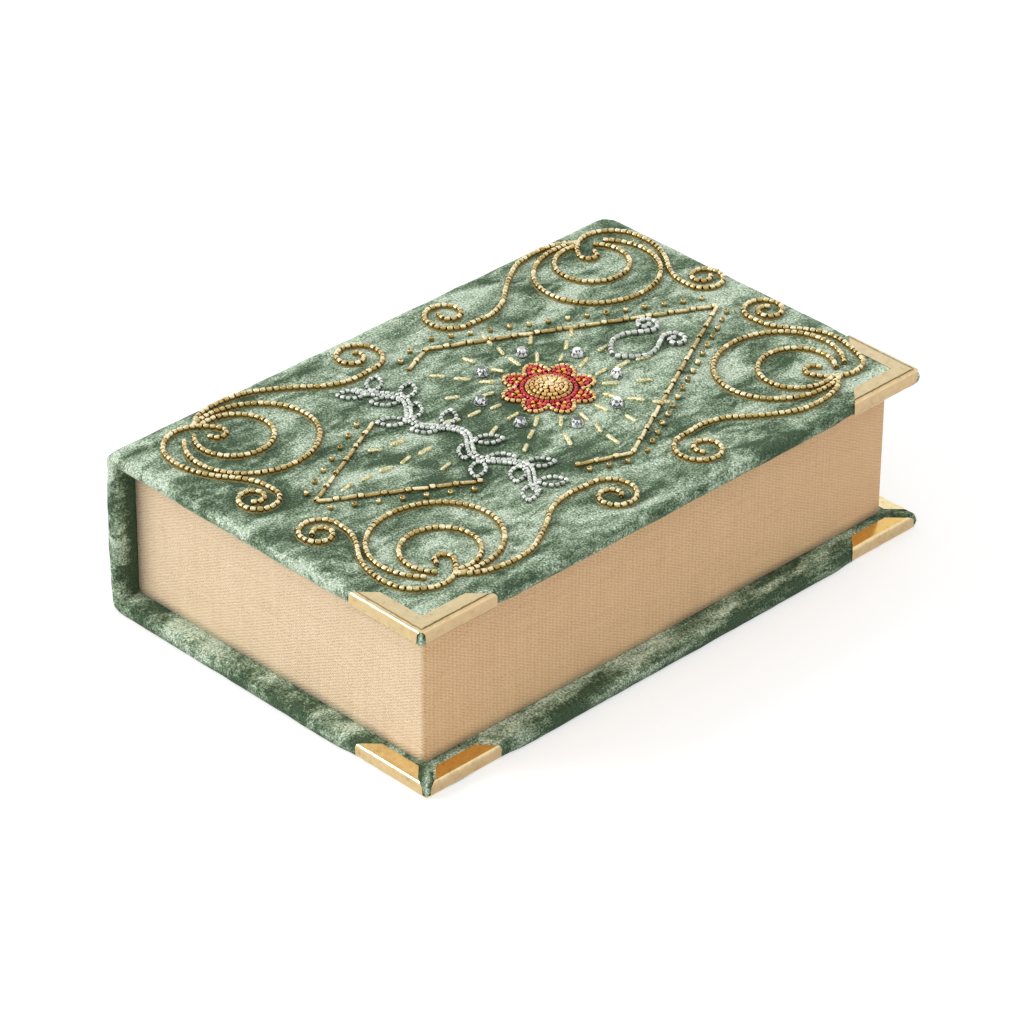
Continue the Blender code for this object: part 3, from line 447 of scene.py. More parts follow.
def sweep_strip(name, path, section, outline=None):
    """A closed section, given as (inwards, height), carried along a plan path. Its UV map holds the
    distances along the path and along the section, in metres. outline is the (tail, fore, head) sides
    of a strip that is mitred where it turns a corner."""
    lengths = [0.0]
    for a, b in zip(path, path[1:]):
        lengths.append(lengths[-1] + (b - a).length)
    around = [0.0]
    for a, b in zip(section, section[1:] + section[:1]):
        around.append(around[-1] + (Vector(b) - Vector(a)).length)
    form = bmesh.new()
    thread_map = form.loops.layers.uv.new("threads")
    rows = []
    for index, point in enumerate(path):
        before = path[max(index - 1, 0)]
        after = path[min(index + 1, len(path) - 1)]
        along = (after - before).normalized()
        inwards = Vector((-along.y, along.x))
        row = []
        for deep, height in section:
            spot = point + inwards * deep
            if outline:
                tail, fore, head = outline
                spot = Vector((min(spot.x, fore - deep), min(max(spot.y, tail + deep), head - deep)))
            row.append(form.verts.new((*spot, height)))
        rows.append(row)
    for index in range(len(rows) - 1):
        for step in range(len(section)):
            following = (step + 1) % len(section)
            face = form.faces.new((rows[index][step], rows[index + 1][step],
                                   rows[index + 1][following], rows[index][following]))
            spots = ((lengths[index], around[step]), (lengths[index + 1], around[step]),
                     (lengths[index + 1], around[step + 1]), (lengths[index], around[step + 1]))
            for loop, spot in zip(face.loops, spots):
                loop[thread_map].uv = spot
    form.faces.new(rows[0])
    form.faces.new(list(reversed(rows[-1])))
    bmesh.ops.dissolve_degenerate(form, dist=1e-6, edges=form.edges)
    return mesh_from(form, name)


def plan_path(corners, rounding, spacing):
    """A plan line through corners, rounded at the inner ones, with points at even steps."""
    line = [Vector(corners[0])]
    for before, at, after in zip(corners, corners[1:], corners[2:]):
        before, at, after = Vector(before), Vector(at), Vector(after)
        start = at + (before - at).normalized() * rounding
        end = at + (after - at).normalized() * rounding
        centre = start + end - at
        line.append(start)
        for turn in range(1, ROUNDING_STEPS):
            angle = turn / ROUNDING_STEPS * math.pi / 2
            arm = (start - centre) * math.cos(angle) + (end - centre) * math.sin(angle)
            line.append(centre + arm)
        line.append(end)
    line.append(Vector(corners[-1]))
    fine = []
    for a, b in zip(line, line[1:]):
        pieces = max(1, round((b - a).length / spacing))
        fine += [a.lerp(b, piece / pieces) for piece in range(pieces)]
    return [*fine, line[-1]]


fold_outside = []
for row in range(HINGE_ROWS + 1):
    share = 2 * row / HINGE_ROWS - 1
    fold_outside.append((HINGE_TUCK * abs(share) ** 6 - HINGE_PROUD, fold.z + HINGE_REACH * share))
fold_inside = [(deep + HINGE_CLOTH, height) for deep, height in reversed(fold_outside)]
head_end, tail_end = lid_high.y + FULLNESS, lid_low.y - FULLNESS
fold_path = plan_path(
    [(spine_face + HINGE_WRAP, head_end - 2 * HINGE_TUCK), (spine_face, head_end), (spine_face, tail_end),
     (spine_face + HINGE_WRAP, tail_end + 2 * HINGE_TUCK)], HINGE_TURN, HINGE_STEP,
)
fold_mesh = sweep_strip("hinge_fold_velvet", fold_path, [*fold_outside, *fold_inside])
# The whole fold is paled: open pile with a painted sheen.
fold_open_sheen = fold_mesh.attributes.new("edge_pile", "FLOAT", "POINT")
for value in fold_open_sheen.data:
    value.value = FOLD_OPEN_SHEEN
hinge = piece_of("hinge_fold_velvet", fold_mesh, velvet)
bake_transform(hinge)

strip = piece_of("hinge_strip_cloth", soft_slab("hinge_strip_cloth", *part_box("hinge_strip"), STRIP_ROUND,
                                                STRIP_GRID, wave=STRIP_WAVE), velvet)
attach(strip, "case")
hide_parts("hinge_strip")

# Page block: boards covered with one strip of plain-weave linen that runs round the tail, the fore
# edge and the head, and is turned over their top edges into the tray.

LINEN_THICK = 0.0008
LINEN_CORNER = 0.0014
LINEN_EDGE = 0.0006
WARP = 0.00092  # pitches of the upright and the level threads
WEFT = 0.00050
RIB = 0.00145  # pitch of the thicker upright threads
THREAD_STEP = 0.003  # between the strip's points along the block
LINEN_ROWS = 14
THREAD_WANDER = 0.0006  # threads wander sideways by up to this
TURN_SHORT = 0.0002  # what is turned over the walls stops this far before their inner faces
WARM_FROM, WARM_FULL = 0.0012, 0.0002  # the fore face's warmer, darker tint, painted warm shade, by the depth under that face

linen_low, linen_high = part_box("page_linen")
over_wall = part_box("tray_floor")[0].y - linen_low.y - TURN_SHORT
height = linen_high.z - linen_low.z
upright = [(0.0, linen_low.z + height * step / LINEN_ROWS) for step in range(LINEN_ROWS)]
folded = [(LINEN_EDGE * (1 - math.cos(a)), linen_high.z - LINEN_EDGE * (1 - math.sin(a)))
          for a in (0.0, 0.4, 0.8, 1.2, math.pi / 2)]
under = linen_high.z - LINEN_THICK
linen_section = [*upright, *folded, (over_wall, linen_high.z), (over_wall, under), (LINEN_THICK, under),
                 (LINEN_THICK, linen_low.z)]
linen_path = plan_path(
    [(linen_low.x, linen_low.y), (linen_high.x, linen_low.y), (linen_high.x, linen_high.y),
     (linen_low.x, linen_high.y)], LINEN_CORNER, THREAD_STEP,
)

weave, inside, result = effect("plain_weave", {"Warp": WARP, "Weft": WEFT, "Slub": 0.34, "Ribs": 0.0},
                               ("Height", "Tone"))
wander = add(weave, "ShaderNodeTexNoise", {"Vector": inside["Vector"], "Scale": 120.0, "Detail": 2.0})
shifted = add(weave, "ShaderNodeVectorMath", {0: wander.outputs["Color"], 3: THREAD_WANDER},
              operation="SCALE")
moved = add(weave, "ShaderNodeVectorMath", {0: inside["Vector"], 1: shifted.outputs[0]}, operation="ADD")
across, up, _ = add(weave, "ShaderNodeSeparateXYZ", {"Vector": moved.outputs[0]}).outputs
half_turns = []
for place, pitch in ((across, inside["Warp"]), (up, inside["Weft"])):
    turns = arithmetic(weave, "DIVIDE", arithmetic(weave, "MULTIPLY", place, math.pi), pitch)
    half_turns.append(arithmetic(weave, "SINE", turns))
over_under = arithmetic(weave, "MULTIPLY", *half_turns)
slubs = []
for lengths in ((60.0, 700.0, 1.0), (600.0, 60.0, 1.0)):  # along the level and the upright threads
    stretched = add(weave, "ShaderNodeMapping", {"Vector": inside["Vector"], "Scale": lengths})
    slubs.append(noise_of(weave, stretched.outputs["Vector"], scale=1.0))
specks = noise_of(weave, inside["Vector"], scale=2200.0, detail=1.0)
both_slubs = arithmetic(weave, "ADD", *slubs)
uneven = arithmetic(weave, "MULTIPLY_ADD", specks, 5.0, arithmetic(weave, "SUBTRACT", both_slubs, 3.5))
weave.links.new(arithmetic(weave, "MULTIPLY_ADD", uneven, inside["Slub"], over_under), result["Height"])
rib_turn = arithmetic(weave, "MULTIPLY", across, 2 * math.pi / RIB)
ribs = arithmetic(weave, "MULTIPLY", arithmetic(weave, "SINE", rib_turn), inside["Ribs"])
level = arithmetic(weave, "MULTIPLY_ADD", over_under, 0.28, arithmetic(weave, "ADD", ribs, 0.5))
weave.links.new(arithmetic(weave, "MULTIPLY_ADD", uneven, inside["Slub"], level), result["Tone"])

linen_finish, tree, shader, place_on = finish_of("linen", Roughness=0.85, Sheen_Weight=0.1)
threads = add(tree, "ShaderNodeUVMap", uv_map="threads").outputs["UV"]
parts = add(tree, "ShaderNodeSeparateXYZ", {"Vector": place_on})
fore_side = add(tree, "ShaderNodeMapRange", {
    "Value": parts.outputs["X"], "From Min": linen_high.x - WARM_FROM,
    "From Max": linen_high.x - WARM_FULL, "To Max": 1.0}).outputs["Result"]
fore_ribs = arithmetic(tree, "MULTIPLY", fore_side, 0.10)
cloth = place_effect(tree, weave, {"Vector": threads, "Ribs": fore_ribs})
toned = ramp(tree, cloth["Tone"], [(0.15, (0.62, 0.42, 0.25)), (0.5, (0.82, 0.62, 0.40)),
                                   (0.85, (0.92, 0.74, 0.52))])
# The fore face is tinted warmer and darker as painted shade.
feed(shader, tinted(tree, toned, (1.0, 0.86, 0.71, 1.0), fore_side),
     normal=bump(tree, cloth["Height"], distance=0.00006))
linen_sides = (linen_low.y, linen_high.x, linen_high.y)
linen = piece_of("page_block_linen", sweep_strip("page_block_linen", linen_path, linen_section,
                                                 outline=linen_sides), linen_finish)
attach(linen, "case")
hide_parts("page_linen")

# Book corners: each is one blank of thin brass, folded over the cover's corner and pressed flat. It
# has an L-shaped plate outside, two edge flanges and two flaps on the inner side, all lacquered.

CORNER_LEG = 0.029
CORNER_BAND = 0.0063
CORNER_FLAP = 0.0054
CORNER_METAL = 0.0005
CORNER_FOLD = 0.0012  # outer radius of the folds
CORNER_OPEN = (0.0009, 0.0034)  # the flanges stop this far from the tip, at the plate and at the flaps
CREASE_PLACE = 0.0017  # a line pressed beside the fold
CREASE_HALF = 0.0004
CREASE_DEPTH = 0.00016
CORNER_STEPS = 22
FOLD_STEPS = 6
CORNER_SHARP = math.radians(50)  # edges that turn by more stay sharp
DENT = 0.00007
DENTS_ALONG, DENTS_ACROSS = 260, 300  # noise cells per metre


def corner_sheet(name, channel):
    """The folded sheet's outer surface, its tip at the origin, its legs along +X and +Y and its
    channel open downwards. A station is a depth in from the edge and a height."""
    stations = [(CORNER_BAND, 0.0), (CREASE_PLACE + CREASE_HALF, 0.0), (CREASE_PLACE, -CREASE_DEPTH)]
    pressed = len(stations) - 1
    bends = [step * math.pi / 2 / FOLD_STEPS for step in range(FOLD_STEPS + 1)]
    stations += [(CORNER_FOLD * (1 - math.sin(a)), -CORNER_FOLD * (1 - math.cos(a))) for a in bends]
    stations += [(CORNER_FOLD * (1 - math.cos(a)), -channel + CORNER_FOLD * (1 - math.sin(a)))
                 for a in bends]
    stations.append((CORNER_FLAP, -channel))
    mitred = pressed + FOLD_STEPS // 2  # the legs are joined up to this station
    flapped = len(stations) - 2
    form = bmesh.new()
    station = form.verts.layers.float.new("station")
    fore_leg = form.verts.layers.float.new("fore_leg")
    for turn in (False, True):
        rows = []
        for index, (depth, height) in enumerate(stations):
            opened = min(1.0, (index - mitred - 1) / (flapped - mitred - 1))
            cut = CORNER_OPEN[0] + (CORNER_OPEN[1] - CORNER_OPEN[0]) * opened if index > mitred else 0.0
            start = depth + cut
            end = CORNER_LEG - depth
            row = []
            for step in range(CORNER_STEPS + 1):
                along = start + (end - start) * step / CORNER_STEPS
                dent = DENT * noise.noise((along * DENTS_ALONG, depth * DENTS_ACROSS,
                                           height * DENTS_ACROSS + 40 * turn))
                bent = height < -1.2 * CREASE_DEPTH  # the plate's own edges stay straight
                x, y = along, depth + dent if bent else depth
                made = form.verts.new((y, x, height + dent) if turn else (x, y, height + dent))
                made[station] = index / (len(stations) - 1)
                made[fore_leg] = float(turn)
                row.append(made)
            rows.append(row)
        for row, next_row in zip(rows, rows[1:]):
            for a, b, c, d in zip(row, row[1:], next_row[1:], next_row):
                form.faces.new((a, b, c, d))
    for index in range(mitred + 1):
        depth, height = stations[index]
        for vertex in form.verts:
            if (vertex.co - Vector((depth, depth, height))).length < 2.5 * DENT:
                vertex.co = (depth, depth, height)
    bmesh.ops.remove_doubles(form, verts=form.verts, dist=1e-6)
    mesh = mesh_from(form, name, smooth=False)
    if max(mesh.polygons, key=lambda face: face.center.z).normal.z < 0:
        mesh.flip_normals()
    return mesh


wear, inside, result = effect("rubbed_metal", {"Scale": 420.0}, ("Rub", "Scratch"))
rubbed = noise_of(wear, inside["Vector"], inside["Scale"], detail=5.0, roughness=0.65, distortion=0.4)
drawn = add(wear, "ShaderNodeMapping", {"Vector": inside["Vector"], "Rotation": (0.3, 0.2, 0.78),
                                        "Scale": (300.0, 4200.0, 900.0)}).outputs["Vector"]
wear.links.new(rubbed, result["Rub"])
wear.links.new(noise_of(wear, drawn, scale=1.0), result["Scratch"])

brass, tree, shader, place_on = finish_of("lacquered_brass", Metallic=1.0, Coat_Weight=0.2,
                                          Coat_Roughness=0.1)
metal = place_effect(tree, wear, {"Vector": place_on})
toned = ramp(tree, metal["Rub"], [(0.28, (0.66, 0.50, 0.26)), (0.42, (0.88, 0.72, 0.44)),
                                  (0.7, (0.98, 0.83, 0.55))])
# Painted light across each leg, by station: a painted line of shade in the crease, painted highlights on the
# folds, painted shade on the flanges, deeper on the fore legs, and on the flaps a painted reflection of the
# linen, pale on the end legs and orange on the fore legs.
station = stored(tree, "station")
blurred = arithmetic(tree, "MULTIPLY_ADD", arithmetic(tree, "SUBTRACT", metal["Rub"], 0.5), 0.10, station)
painted_end_light = ramp(tree, blurred, [
    (0.06, (0.80, 0.78, 0.72)), (0.12, (0.26, 0.18, 0.08)), (0.18, (0.86, 0.84, 0.78)),
    (0.36, (0.80, 0.74, 0.64)), (0.47, (0.72, 0.66, 0.54)), (0.66, (0.74, 0.68, 0.56)),
    (0.80, (1.0, 1.0, 0.98)), (0.93, (1.0, 1.0, 0.88))])
painted_fore_light = ramp(tree, blurred, [
    (0.06, (0.80, 0.78, 0.72)), (0.10, (0.16, 0.10, 0.04)), (0.14, (0.20, 0.13, 0.05)),
    (0.19, (0.74, 0.66, 0.52)), (0.36, (0.92, 0.86, 0.78)), (0.47, (0.60, 0.52, 0.44)),
    (0.66, (0.62, 0.54, 0.46)), (0.80, (1.0, 0.98, 0.92)), (0.93, (0.90, 0.70, 0.34))])
leg = stored(tree, "fore_leg")
painted_leg_light = add(tree, "ShaderNodeMix", {"Factor": leg, "A": painted_end_light, "B": painted_fore_light},
                data_type="RGBA").outputs["Result"]
rough = add(tree, "ShaderNodeMapRange", {"Value": metal["Rub"], "From Min": 0.3, "From Max": 0.7,
                                         "To Min": 0.24, "To Max": 0.12}).outputs["Result"]
dented = arithmetic(tree, "MULTIPLY_ADD", metal["Scratch"], 0.2, metal["Rub"])
feed(shader, tinted(tree, toned, painted_leg_light), rough, bump(tree, dented, distance=0.00008, strength=0.35))

for cover, body, up in (("base", "case", -1), ("lid", "lid", 1)):
    for end, side in (("tail", -1), ("head", 1)):
        node = f"{cover}_corner_{end}"
        low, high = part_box(node)
        tip = Vector((high.x, high.y if side > 0 else low.y, high.z if up > 0 else low.z))
        mesh = corner_sheet(f"{node}_brass", high.z - low.z)
        turned = Matrix(((-1, 0, 0), (0, -side, 0), (0, 0, up))).to_4x4()
        mesh.transform(Matrix.Translation(tip) @ turned)
        if side * up < 0:
            mesh.flip_normals()
        corner_piece = thicken(piece_of(f"{node}_brass", mesh, brass), CORNER_METAL)
        corner_piece.data.shade_smooth()
        corner_piece.data.set_sharp_from_angle(angle=CORNER_SHARP)
        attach(corner_piece, body)
        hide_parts(node)

# Corner folds: where the cloth is gathered round a cover's tip, it swells out between the two flanges
# of the brass corner as one small ridge, with a painted highlight on its crest and painted shade elsewhere.

RIDGE_HALF = 0.0022
RIDGE_HEIGHT = 0.0013
RIDGE_SIDES = 12
RIDGE_START = 0.0078  # its inner end from the tip, along the diagonal
RIDGE_SINK = 0.0001
RIDGE_SWAY = 0.00014  # it wanders sideways by this
RIDGE_TURNS = 700  # noise cells per metre
BEND_STEPS = 6


def close_rings(form, rings):
    """Walls between rings of points, and a cap on each end."""
    for ring, following in zip(rings, rings[1:]):
        for turn in range(len(ring)):
            after = (turn + 1) % len(ring)
            form.faces.new((ring[turn], ring[after], following[after], following[turn]))
    form.faces.new(rings[0])
    form.faces.new(rings[-1])


def refine(made):
    """Rounds a mesh by one level of subdivision."""
    finer = made.modifiers.new("finer", "SUBSURF")
    finer.levels = 1
    finer.render_levels = 1
    bake_modifiers(made)
    made.data.shade_smooth()


def corner_fold(name, tip, side, flap_up, thickness):
    """The ridge follows the slab's rounded corner in the vertical plane of the corner's diagonal, from
    the face with the flaps to the face with the plate."""
    inwards = Vector((-1, -side, 0)).normalized()
    across = Vector((-inwards.y, inwards.x, 0))
    upwards = Vector((0, 0, flap_up))
    ball = math.sqrt(2) * VELVET_ROUND
    path = [(inwards * q, upwards) for q in (RIDGE_START, RIDGE_START * 0.85, RIDGE_START * 0.7, ball)]
    bends = [step * math.pi / 2 / BEND_STEPS for step in range(BEND_STEPS + 1)]
    for angle in bends[1:]:
        way = upwards * math.cos(angle) - inwards * math.sin(angle)
        path.append((inwards * ball - upwards * VELVET_ROUND + way * VELVET_ROUND, way))
    drop = thickness - 2 * VELVET_ROUND
    for angle in bends[:-1]:
        way = -inwards * math.cos(angle) - upwards * math.sin(angle)
        path.append((inwards * ball - upwards * (VELVET_ROUND + drop) + way * VELVET_ROUND, way))
    form = bmesh.new()
    pile_light_layer = form.verts.layers.float.new("edge_pile")
    rings = []
    for index, (place_at, way) in enumerate(path):
        share = index / (len(path) - 1)
        swelling = math.sin(math.pi * min(1.0, 0.08 + share * 0.92)) ** 0.6
        height = RIDGE_HEIGHT * (0.15 + 0.85 * swelling)
        half = RIDGE_HALF * (1 - 0.62 * share)
        ring = []
        for step in range(RIDGE_SIDES):
            angle = 2 * math.pi * step / RIDGE_SIDES
            crest = math.sin(angle)
            lift = height * (crest**3 if crest > 0 else 0.4 * crest) - RIDGE_SINK
            aside = half * math.cos(angle)
            sway = RIDGE_SWAY * noise.noise((place_at + across * aside) * RIDGE_TURNS)
            made = form.verts.new(tip + place_at + across * (aside + sway) + way * lift)
            # A painted highlight along the crest, painted shade on the rest of the ridge.
            made[pile_light_layer] = 1.8 * max(0.0, crest) ** 8 - 1.2
            ring.append(made)
        rings.append(ring)
    close_rings(form, rings)
    ridge = piece_of(name, mesh_from(form, name, smooth=False), velvet)
    refine(ridge)
    return ridge


for cover, body, flap_up, low, high in (("base", "case", 1, base_low, base_high),
                                        ("lid", "lid", -1, lid_low, lid_high)):
    for end, side in (("tail", -1), ("head", 1)):
        tip = Vector((high.x, high.y if side > 0 else low.y, high.z if flap_up > 0 else low.z))
        ridge = corner_fold(f"{cover}_corner_fold_{end}", tip, side, flap_up, high.z - low.z)
        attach(ridge, body)

# Magnets: four small nickel-plated bars, sunk in the fore-edge wall and in the lid's board, under the
# cloth.

nickel, tree, shader, place_on = finish_of("nickel_plate", Metallic=1.0)
metal = place_effect(tree, wear, {"Vector": place_on, "Scale": 900.0})
feed(shader, ramp(tree, metal["Rub"], [(0.3, (0.50, 0.50, 0.48)), (0.7, (0.72, 0.72, 0.70))]),
     arithmetic(tree, "MULTIPLY_ADD", metal["Rub"], 0.3, 0.15))
for node in ("case_magnet_tail", "case_magnet_head", "lid_magnet_tail", "lid_magnet_head"):
    finish_node(node, nickel)

# Tray lining: thin cards wrapped in short-pile velveteen, glued to the walls and the floor, with two
# stiff dividers and a foam pad under the ring rolls, both covered in the same cloth.

CARD_ROUND = 0.0004
FLOOR_ROUND = 0.0007
DIVIDER_ROUND = 0.0012
PAD_ROUND = 0.0020
LINING_GRID = 0.0025
LINING_WAVE = 0.00007

lining_cloth = velvet_finish("lining_velveteen", (0.100, 0.145, 0.098), (0.140, 0.195, 0.135),
                             (0.185, 0.245, 0.178), (0.250, 0.320, 0.240), contrast=0.6)
for node, rounding in (
    ("lining_tail", CARD_ROUND), ("lining_head", CARD_ROUND), ("lining_spine", CARD_ROUND),
    ("lining_fore_edge", CARD_ROUND), ("floor_lining", FLOOR_ROUND), ("long_divider", DIVIDER_ROUND),
    ("cross_divider", DIVIDER_ROUND), ("ring_pad", PAD_ROUND),
):
    slab = soft_slab(f"{node}_cloth", *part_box(node), rounding, LINING_GRID, wave=LINING_WAVE, seed=3.0)
    lined = piece_of(f"{node}_cloth", slab, lining_cloth)
    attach(lined, "case")
    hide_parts(node)

# Ring rolls: three long stuffed rolls of velveteen that lie side by side on the pad and grip rings
# between them. Each is sewn shut at both ends, where the cloth gathers.

ROLL_FILL = 0.96  # of half the room it has
ROLL_SIDES = 28
GATHERS = 7  # folds round each end
GATHER_DEPTH = 0.05
ROLL_VOXEL = 0.0024
ROLL_PRESSURE = 4
ROLL_STEPS = 20  # frames of the swelling
ROLL_CAP = 0.0006  # a point moves no further than this


def roll_form(name, low, high):
    """A roll along Y, full in the middle and drawn in at its ends."""
    radius = (high.x - low.x) / 2 * ROLL_FILL
    centre = (low + high) / 2
    half = (high.y - low.y) / 2
    form = bmesh.new()
    profile = [(1.0, 0.04), (0.997, 0.35), (0.985, 0.68), (0.955, 0.9), (0.9, 1.0)]
    stations = [*profile, *((along, 1.0) for along in (0.7, 0.5, 0.3, 0.1))]
    stations += [(-along, thick) for along, thick in reversed(stations)]
    rings = []
    for along, thick in stations:
        ring = []
        for turn in range(ROLL_SIDES):
            angle = 2 * math.pi * turn / ROLL_SIDES
            gather = 1 + GATHER_DEPTH * math.sin(GATHERS * angle) * (1 - thick)
            arm = radius * thick * gather
            ring.append(form.verts.new((centre.x + arm * math.cos(angle), centre.y + half * along,
                                        centre.z + arm * math.sin(angle))))
        rings.append(ring)
    close_rings(form, rings)
    return mesh_from(form, name, smooth=False)


def swell(made):
    """Remeshes a roll, blows it up a little as cloth, and keeps the swelling within the cap."""
    voxels = made.modifiers.new("voxels", "REMESH")
    voxels.mode = "VOXEL"
    voxels.voxel_size = ROLL_VOXEL
    bake_modifiers(made)
    start = [vertex.co.copy() for vertex in made.data.vertices]
    cloth = made.modifiers.new("cloth", "CLOTH")
    cloth.settings.use_pressure = True
    cloth.settings.uniform_pressure_force = ROLL_PRESSURE
    cloth.settings.effector_weights.gravity = 0
    cloth.settings.quality = 6
    cloth.point_cache.frame_start = 1
    cloth.point_cache.frame_end = ROLL_STEPS
    for step in range(1, ROLL_STEPS + 1):
        bpy.context.scene.frame_set(step)
    bake_modifiers(made)
    bpy.context.scene.frame_set(1)
    for vertex, before in zip(made.data.vertices, start):
        moved = vertex.co - before
        if moved.length > ROLL_CAP:
            vertex.co = before + moved.normalized() * ROLL_CAP


for number in (1, 2, 3):
    node = f"ring_roll_{number}"
    low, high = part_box(node)
    roll = piece_of(f"{node}_cloth", roll_form(f"{node}_cloth", low, high), lining_cloth)
    swell(roll)
    refine(roll)
    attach(roll, "case")
    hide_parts(node)

# Lid lining: a card padded with thin foam, covered in the velveteen and glued inside the lid, where it
# drops into the tray's opening.

LID_PAD_ROUND = 0.0009
LID_PAD_THIN = 0.0005  # the padding thins by this toward its edges
LID_PAD_WAVE = 0.00008  # and is uneven by this
LID_PAD_LUMPS = 90  # noise cells per metre

low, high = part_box("lid_lining")
pad = soft_slab("lid_lining_cloth", low, high, LID_PAD_ROUND, LINING_GRID, wave=0.0, seed=5.0)
middle, half = (low + high) / 2, (high - low) / 2
for vertex in pad.vertices:
    if vertex.co.z < middle.z:
        across = 1 - ((vertex.co.x - middle.x) / half.x) ** 8
        along = 1 - ((vertex.co.y - middle.y) / half.y) ** 12
        vertex.co.z += LID_PAD_THIN * (1 - max(0.0, across) * max(0.0, along))
        vertex.co.z += LID_PAD_WAVE * noise.noise(vertex.co * LID_PAD_LUMPS)
lid_pad = piece_of("lid_lining_cloth", pad, lining_cloth)
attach(lid_pad, "lid")
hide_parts("lid_lining")

# Corner scrolls: seed beads threaded on a gold-brown cord and couched on the velvet, in four strands
# that meet at one knot. A bead is a short glass tube with melted rims, silver-lined; its bright top is
# a painted highlight, its amber sides and rims painted shade.

SEED = 0.00185
SEED_PITCH = 0.00196
SEED_LENGTH = 0.94 * SEED_PITCH
SEED_SINK = 0.00015  # beads sit this deep in the pile
LID_TOP = lid_high.z
FINE_STEP = 0.0007
CORD_RADIUS = 0.0012  # its top lies in the pile and shows beside the beads, standing in as painted shade and painted golden reflection
# The strands are an edge strand, a side strand and two crescents, each drawn as distances from the
# lid's side edge and its end edge.
# A volute is its two centres and radii, the angle it starts at and its turns.
END_VOLUTE = ((0.0497, 0.0069), (0.0485, 0.0065), 0.0069, 0.0022, 90, -1.35)
EDGE_SWEEP = (
    (0.0435, 0.0132), (0.0380, 0.0106), (0.0325, 0.0066), (0.0265, 0.0039), (0.0195, 0.0029),
    (0.0125, 0.0044), (0.0080, 0.0088), (0.0063, 0.0142), (0.0077, 0.0196), (0.0110, 0.0232),
    (0.0146, 0.0253), (0.0174, 0.0240), (0.0175, 0.0212), (0.0154, 0.0199),
)
SIDE_VOLUTE = ((0.0125, 0.0795), (0.0114, 0.0788), 0.0086, 0.0022, -12, 1.35)
SIDE_SWEEP = (
    (0.0079, 0.0202), (0.0050, 0.0235), (0.0035, 0.0280), (0.0032, 0.0350), (0.0048, 0.0428),
    (0.0086, 0.0494), (0.0133, 0.0558), (0.0183, 0.0620), (0.0212, 0.0695),
)
# A crescent is an ellipse's middle and half widths, drawn between two angles.
CRESCENTS = (((0.0243, 0.0279), (0.0184, 0.0204)), ((0.0195, 0.0253), (0.0113, 0.0118)))
CRESCENT_TURN = (-130, 201)
METAL_CLEAR = 0.0014  # between the strands' middles and the brass
SCROLL_CORD_DROP = 0.0005  # the cord's middle lies this far below the lid's top
# How far each corner's knot, and its side volute, lie from where the numbers above put them.
SCROLL_SHIFTS = {
    "head_spine": ((0.0014, 0.0006), (0.0009, 0.0006)),
    "head_fore": ((0.0053, 0.0014), (0.0008, 0.0000)),
    "tail_spine": ((0.0011, 0.0060), (0.0000, 0.0074)),
    "tail_fore": ((0.0066, 0.0068), (0.0008, 0.0082)),
}
bead_line_height = LID_TOP - SEED_SINK + SEED / 2


def smooth_line(points, step=FINE_STEP):
    """Evenly stepped points on a smooth curve through the given ones."""
    points = [Vector(point) for point in points]
    padded = [2 * points[0] - points[1], *points, 2 * points[-1] - points[-2]]
    line = []
    for before, start, end, after in zip(padded, padded[1:], padded[2:], padded[3:]):
        pieces = max(1, round((end - start).length / step))
        for piece in range(pieces):
            t = piece / pieces
            bend = (2 * before - 5 * start + 4 * end - after) * t**2
            line.append(0.5 * (2 * start + (end - before) * t + bend
                               + (3 * start - before - 3 * end + after) * t**3))
    return [*line, points[-1]]


def spiral(centre, end_centre, radius, end_radius, start, turns, step=FINE_STEP):
    """Points that turn from start degrees as the circle shrinks and its centre drifts."""
    centre, end_centre = Vector(centre), Vector(end_centre)
    pieces = round(abs(turns) * math.pi * (radius + end_radius) / step)
    line = []
    for piece in range(pieces + 1):
        t = piece / pieces
        angle = math.radians(start) + 2 * math.pi * turns * t
        arm = Vector((math.cos(angle), math.sin(angle))) * (radius + (end_radius - radius) * t)
        line.append(centre.lerp(end_centre, t) + arm)
    return line


def circle_at(centre, radius, height, sides, start=0.0):
    """Points of a level circle, this height above its centre, from start in radians."""
    angles = [start + 2 * math.pi * side / sides for side in range(sides)]
    return [centre + Vector((radius * math.cos(a), radius * math.sin(a), height)) for a in angles]


def turned_form(name, profile, sides):
    """A bead or stitch along Z, turned from its profile of (radius, along). rim is 1 at its ends,
    which the bead finishes darken as painted shade.
    """
    form = bmesh.new()
    rim = form.verts.layers.float.new("rim")
    rings = [[form.verts.new(point) for point in circle_at(Vector(), radius, along, sides)]
             for radius, along in profile]
    for index, ring in enumerate(rings):
        from_end = min(index, len(profile) - 1 - index)
        for made in ring:
            made[rim] = (1.0, 1.0, 0.55, 0.2, 0.0)[min(from_end, 4)]
    close_rings(form, rings)
    return placed(name, mesh_from(form, name))


def tube_bead(name, diameter, length, sides=10):
    """A bead with rounded rims round its hole, a dimple darkened by painted shade."""
    half, radius = length / 2, diameter / 2
    rim = [(0.34, 0.50), (0.42, 0.88), (0.66, 0.99), (0.90, 0.88), (0.99, 0.60)]
    profile = [(radius * r, -half * a) for r, a in rim]
    profile += [(radius * r, half * a) for r, a in reversed(rim)]
    return turned_form(name, profile, sides)


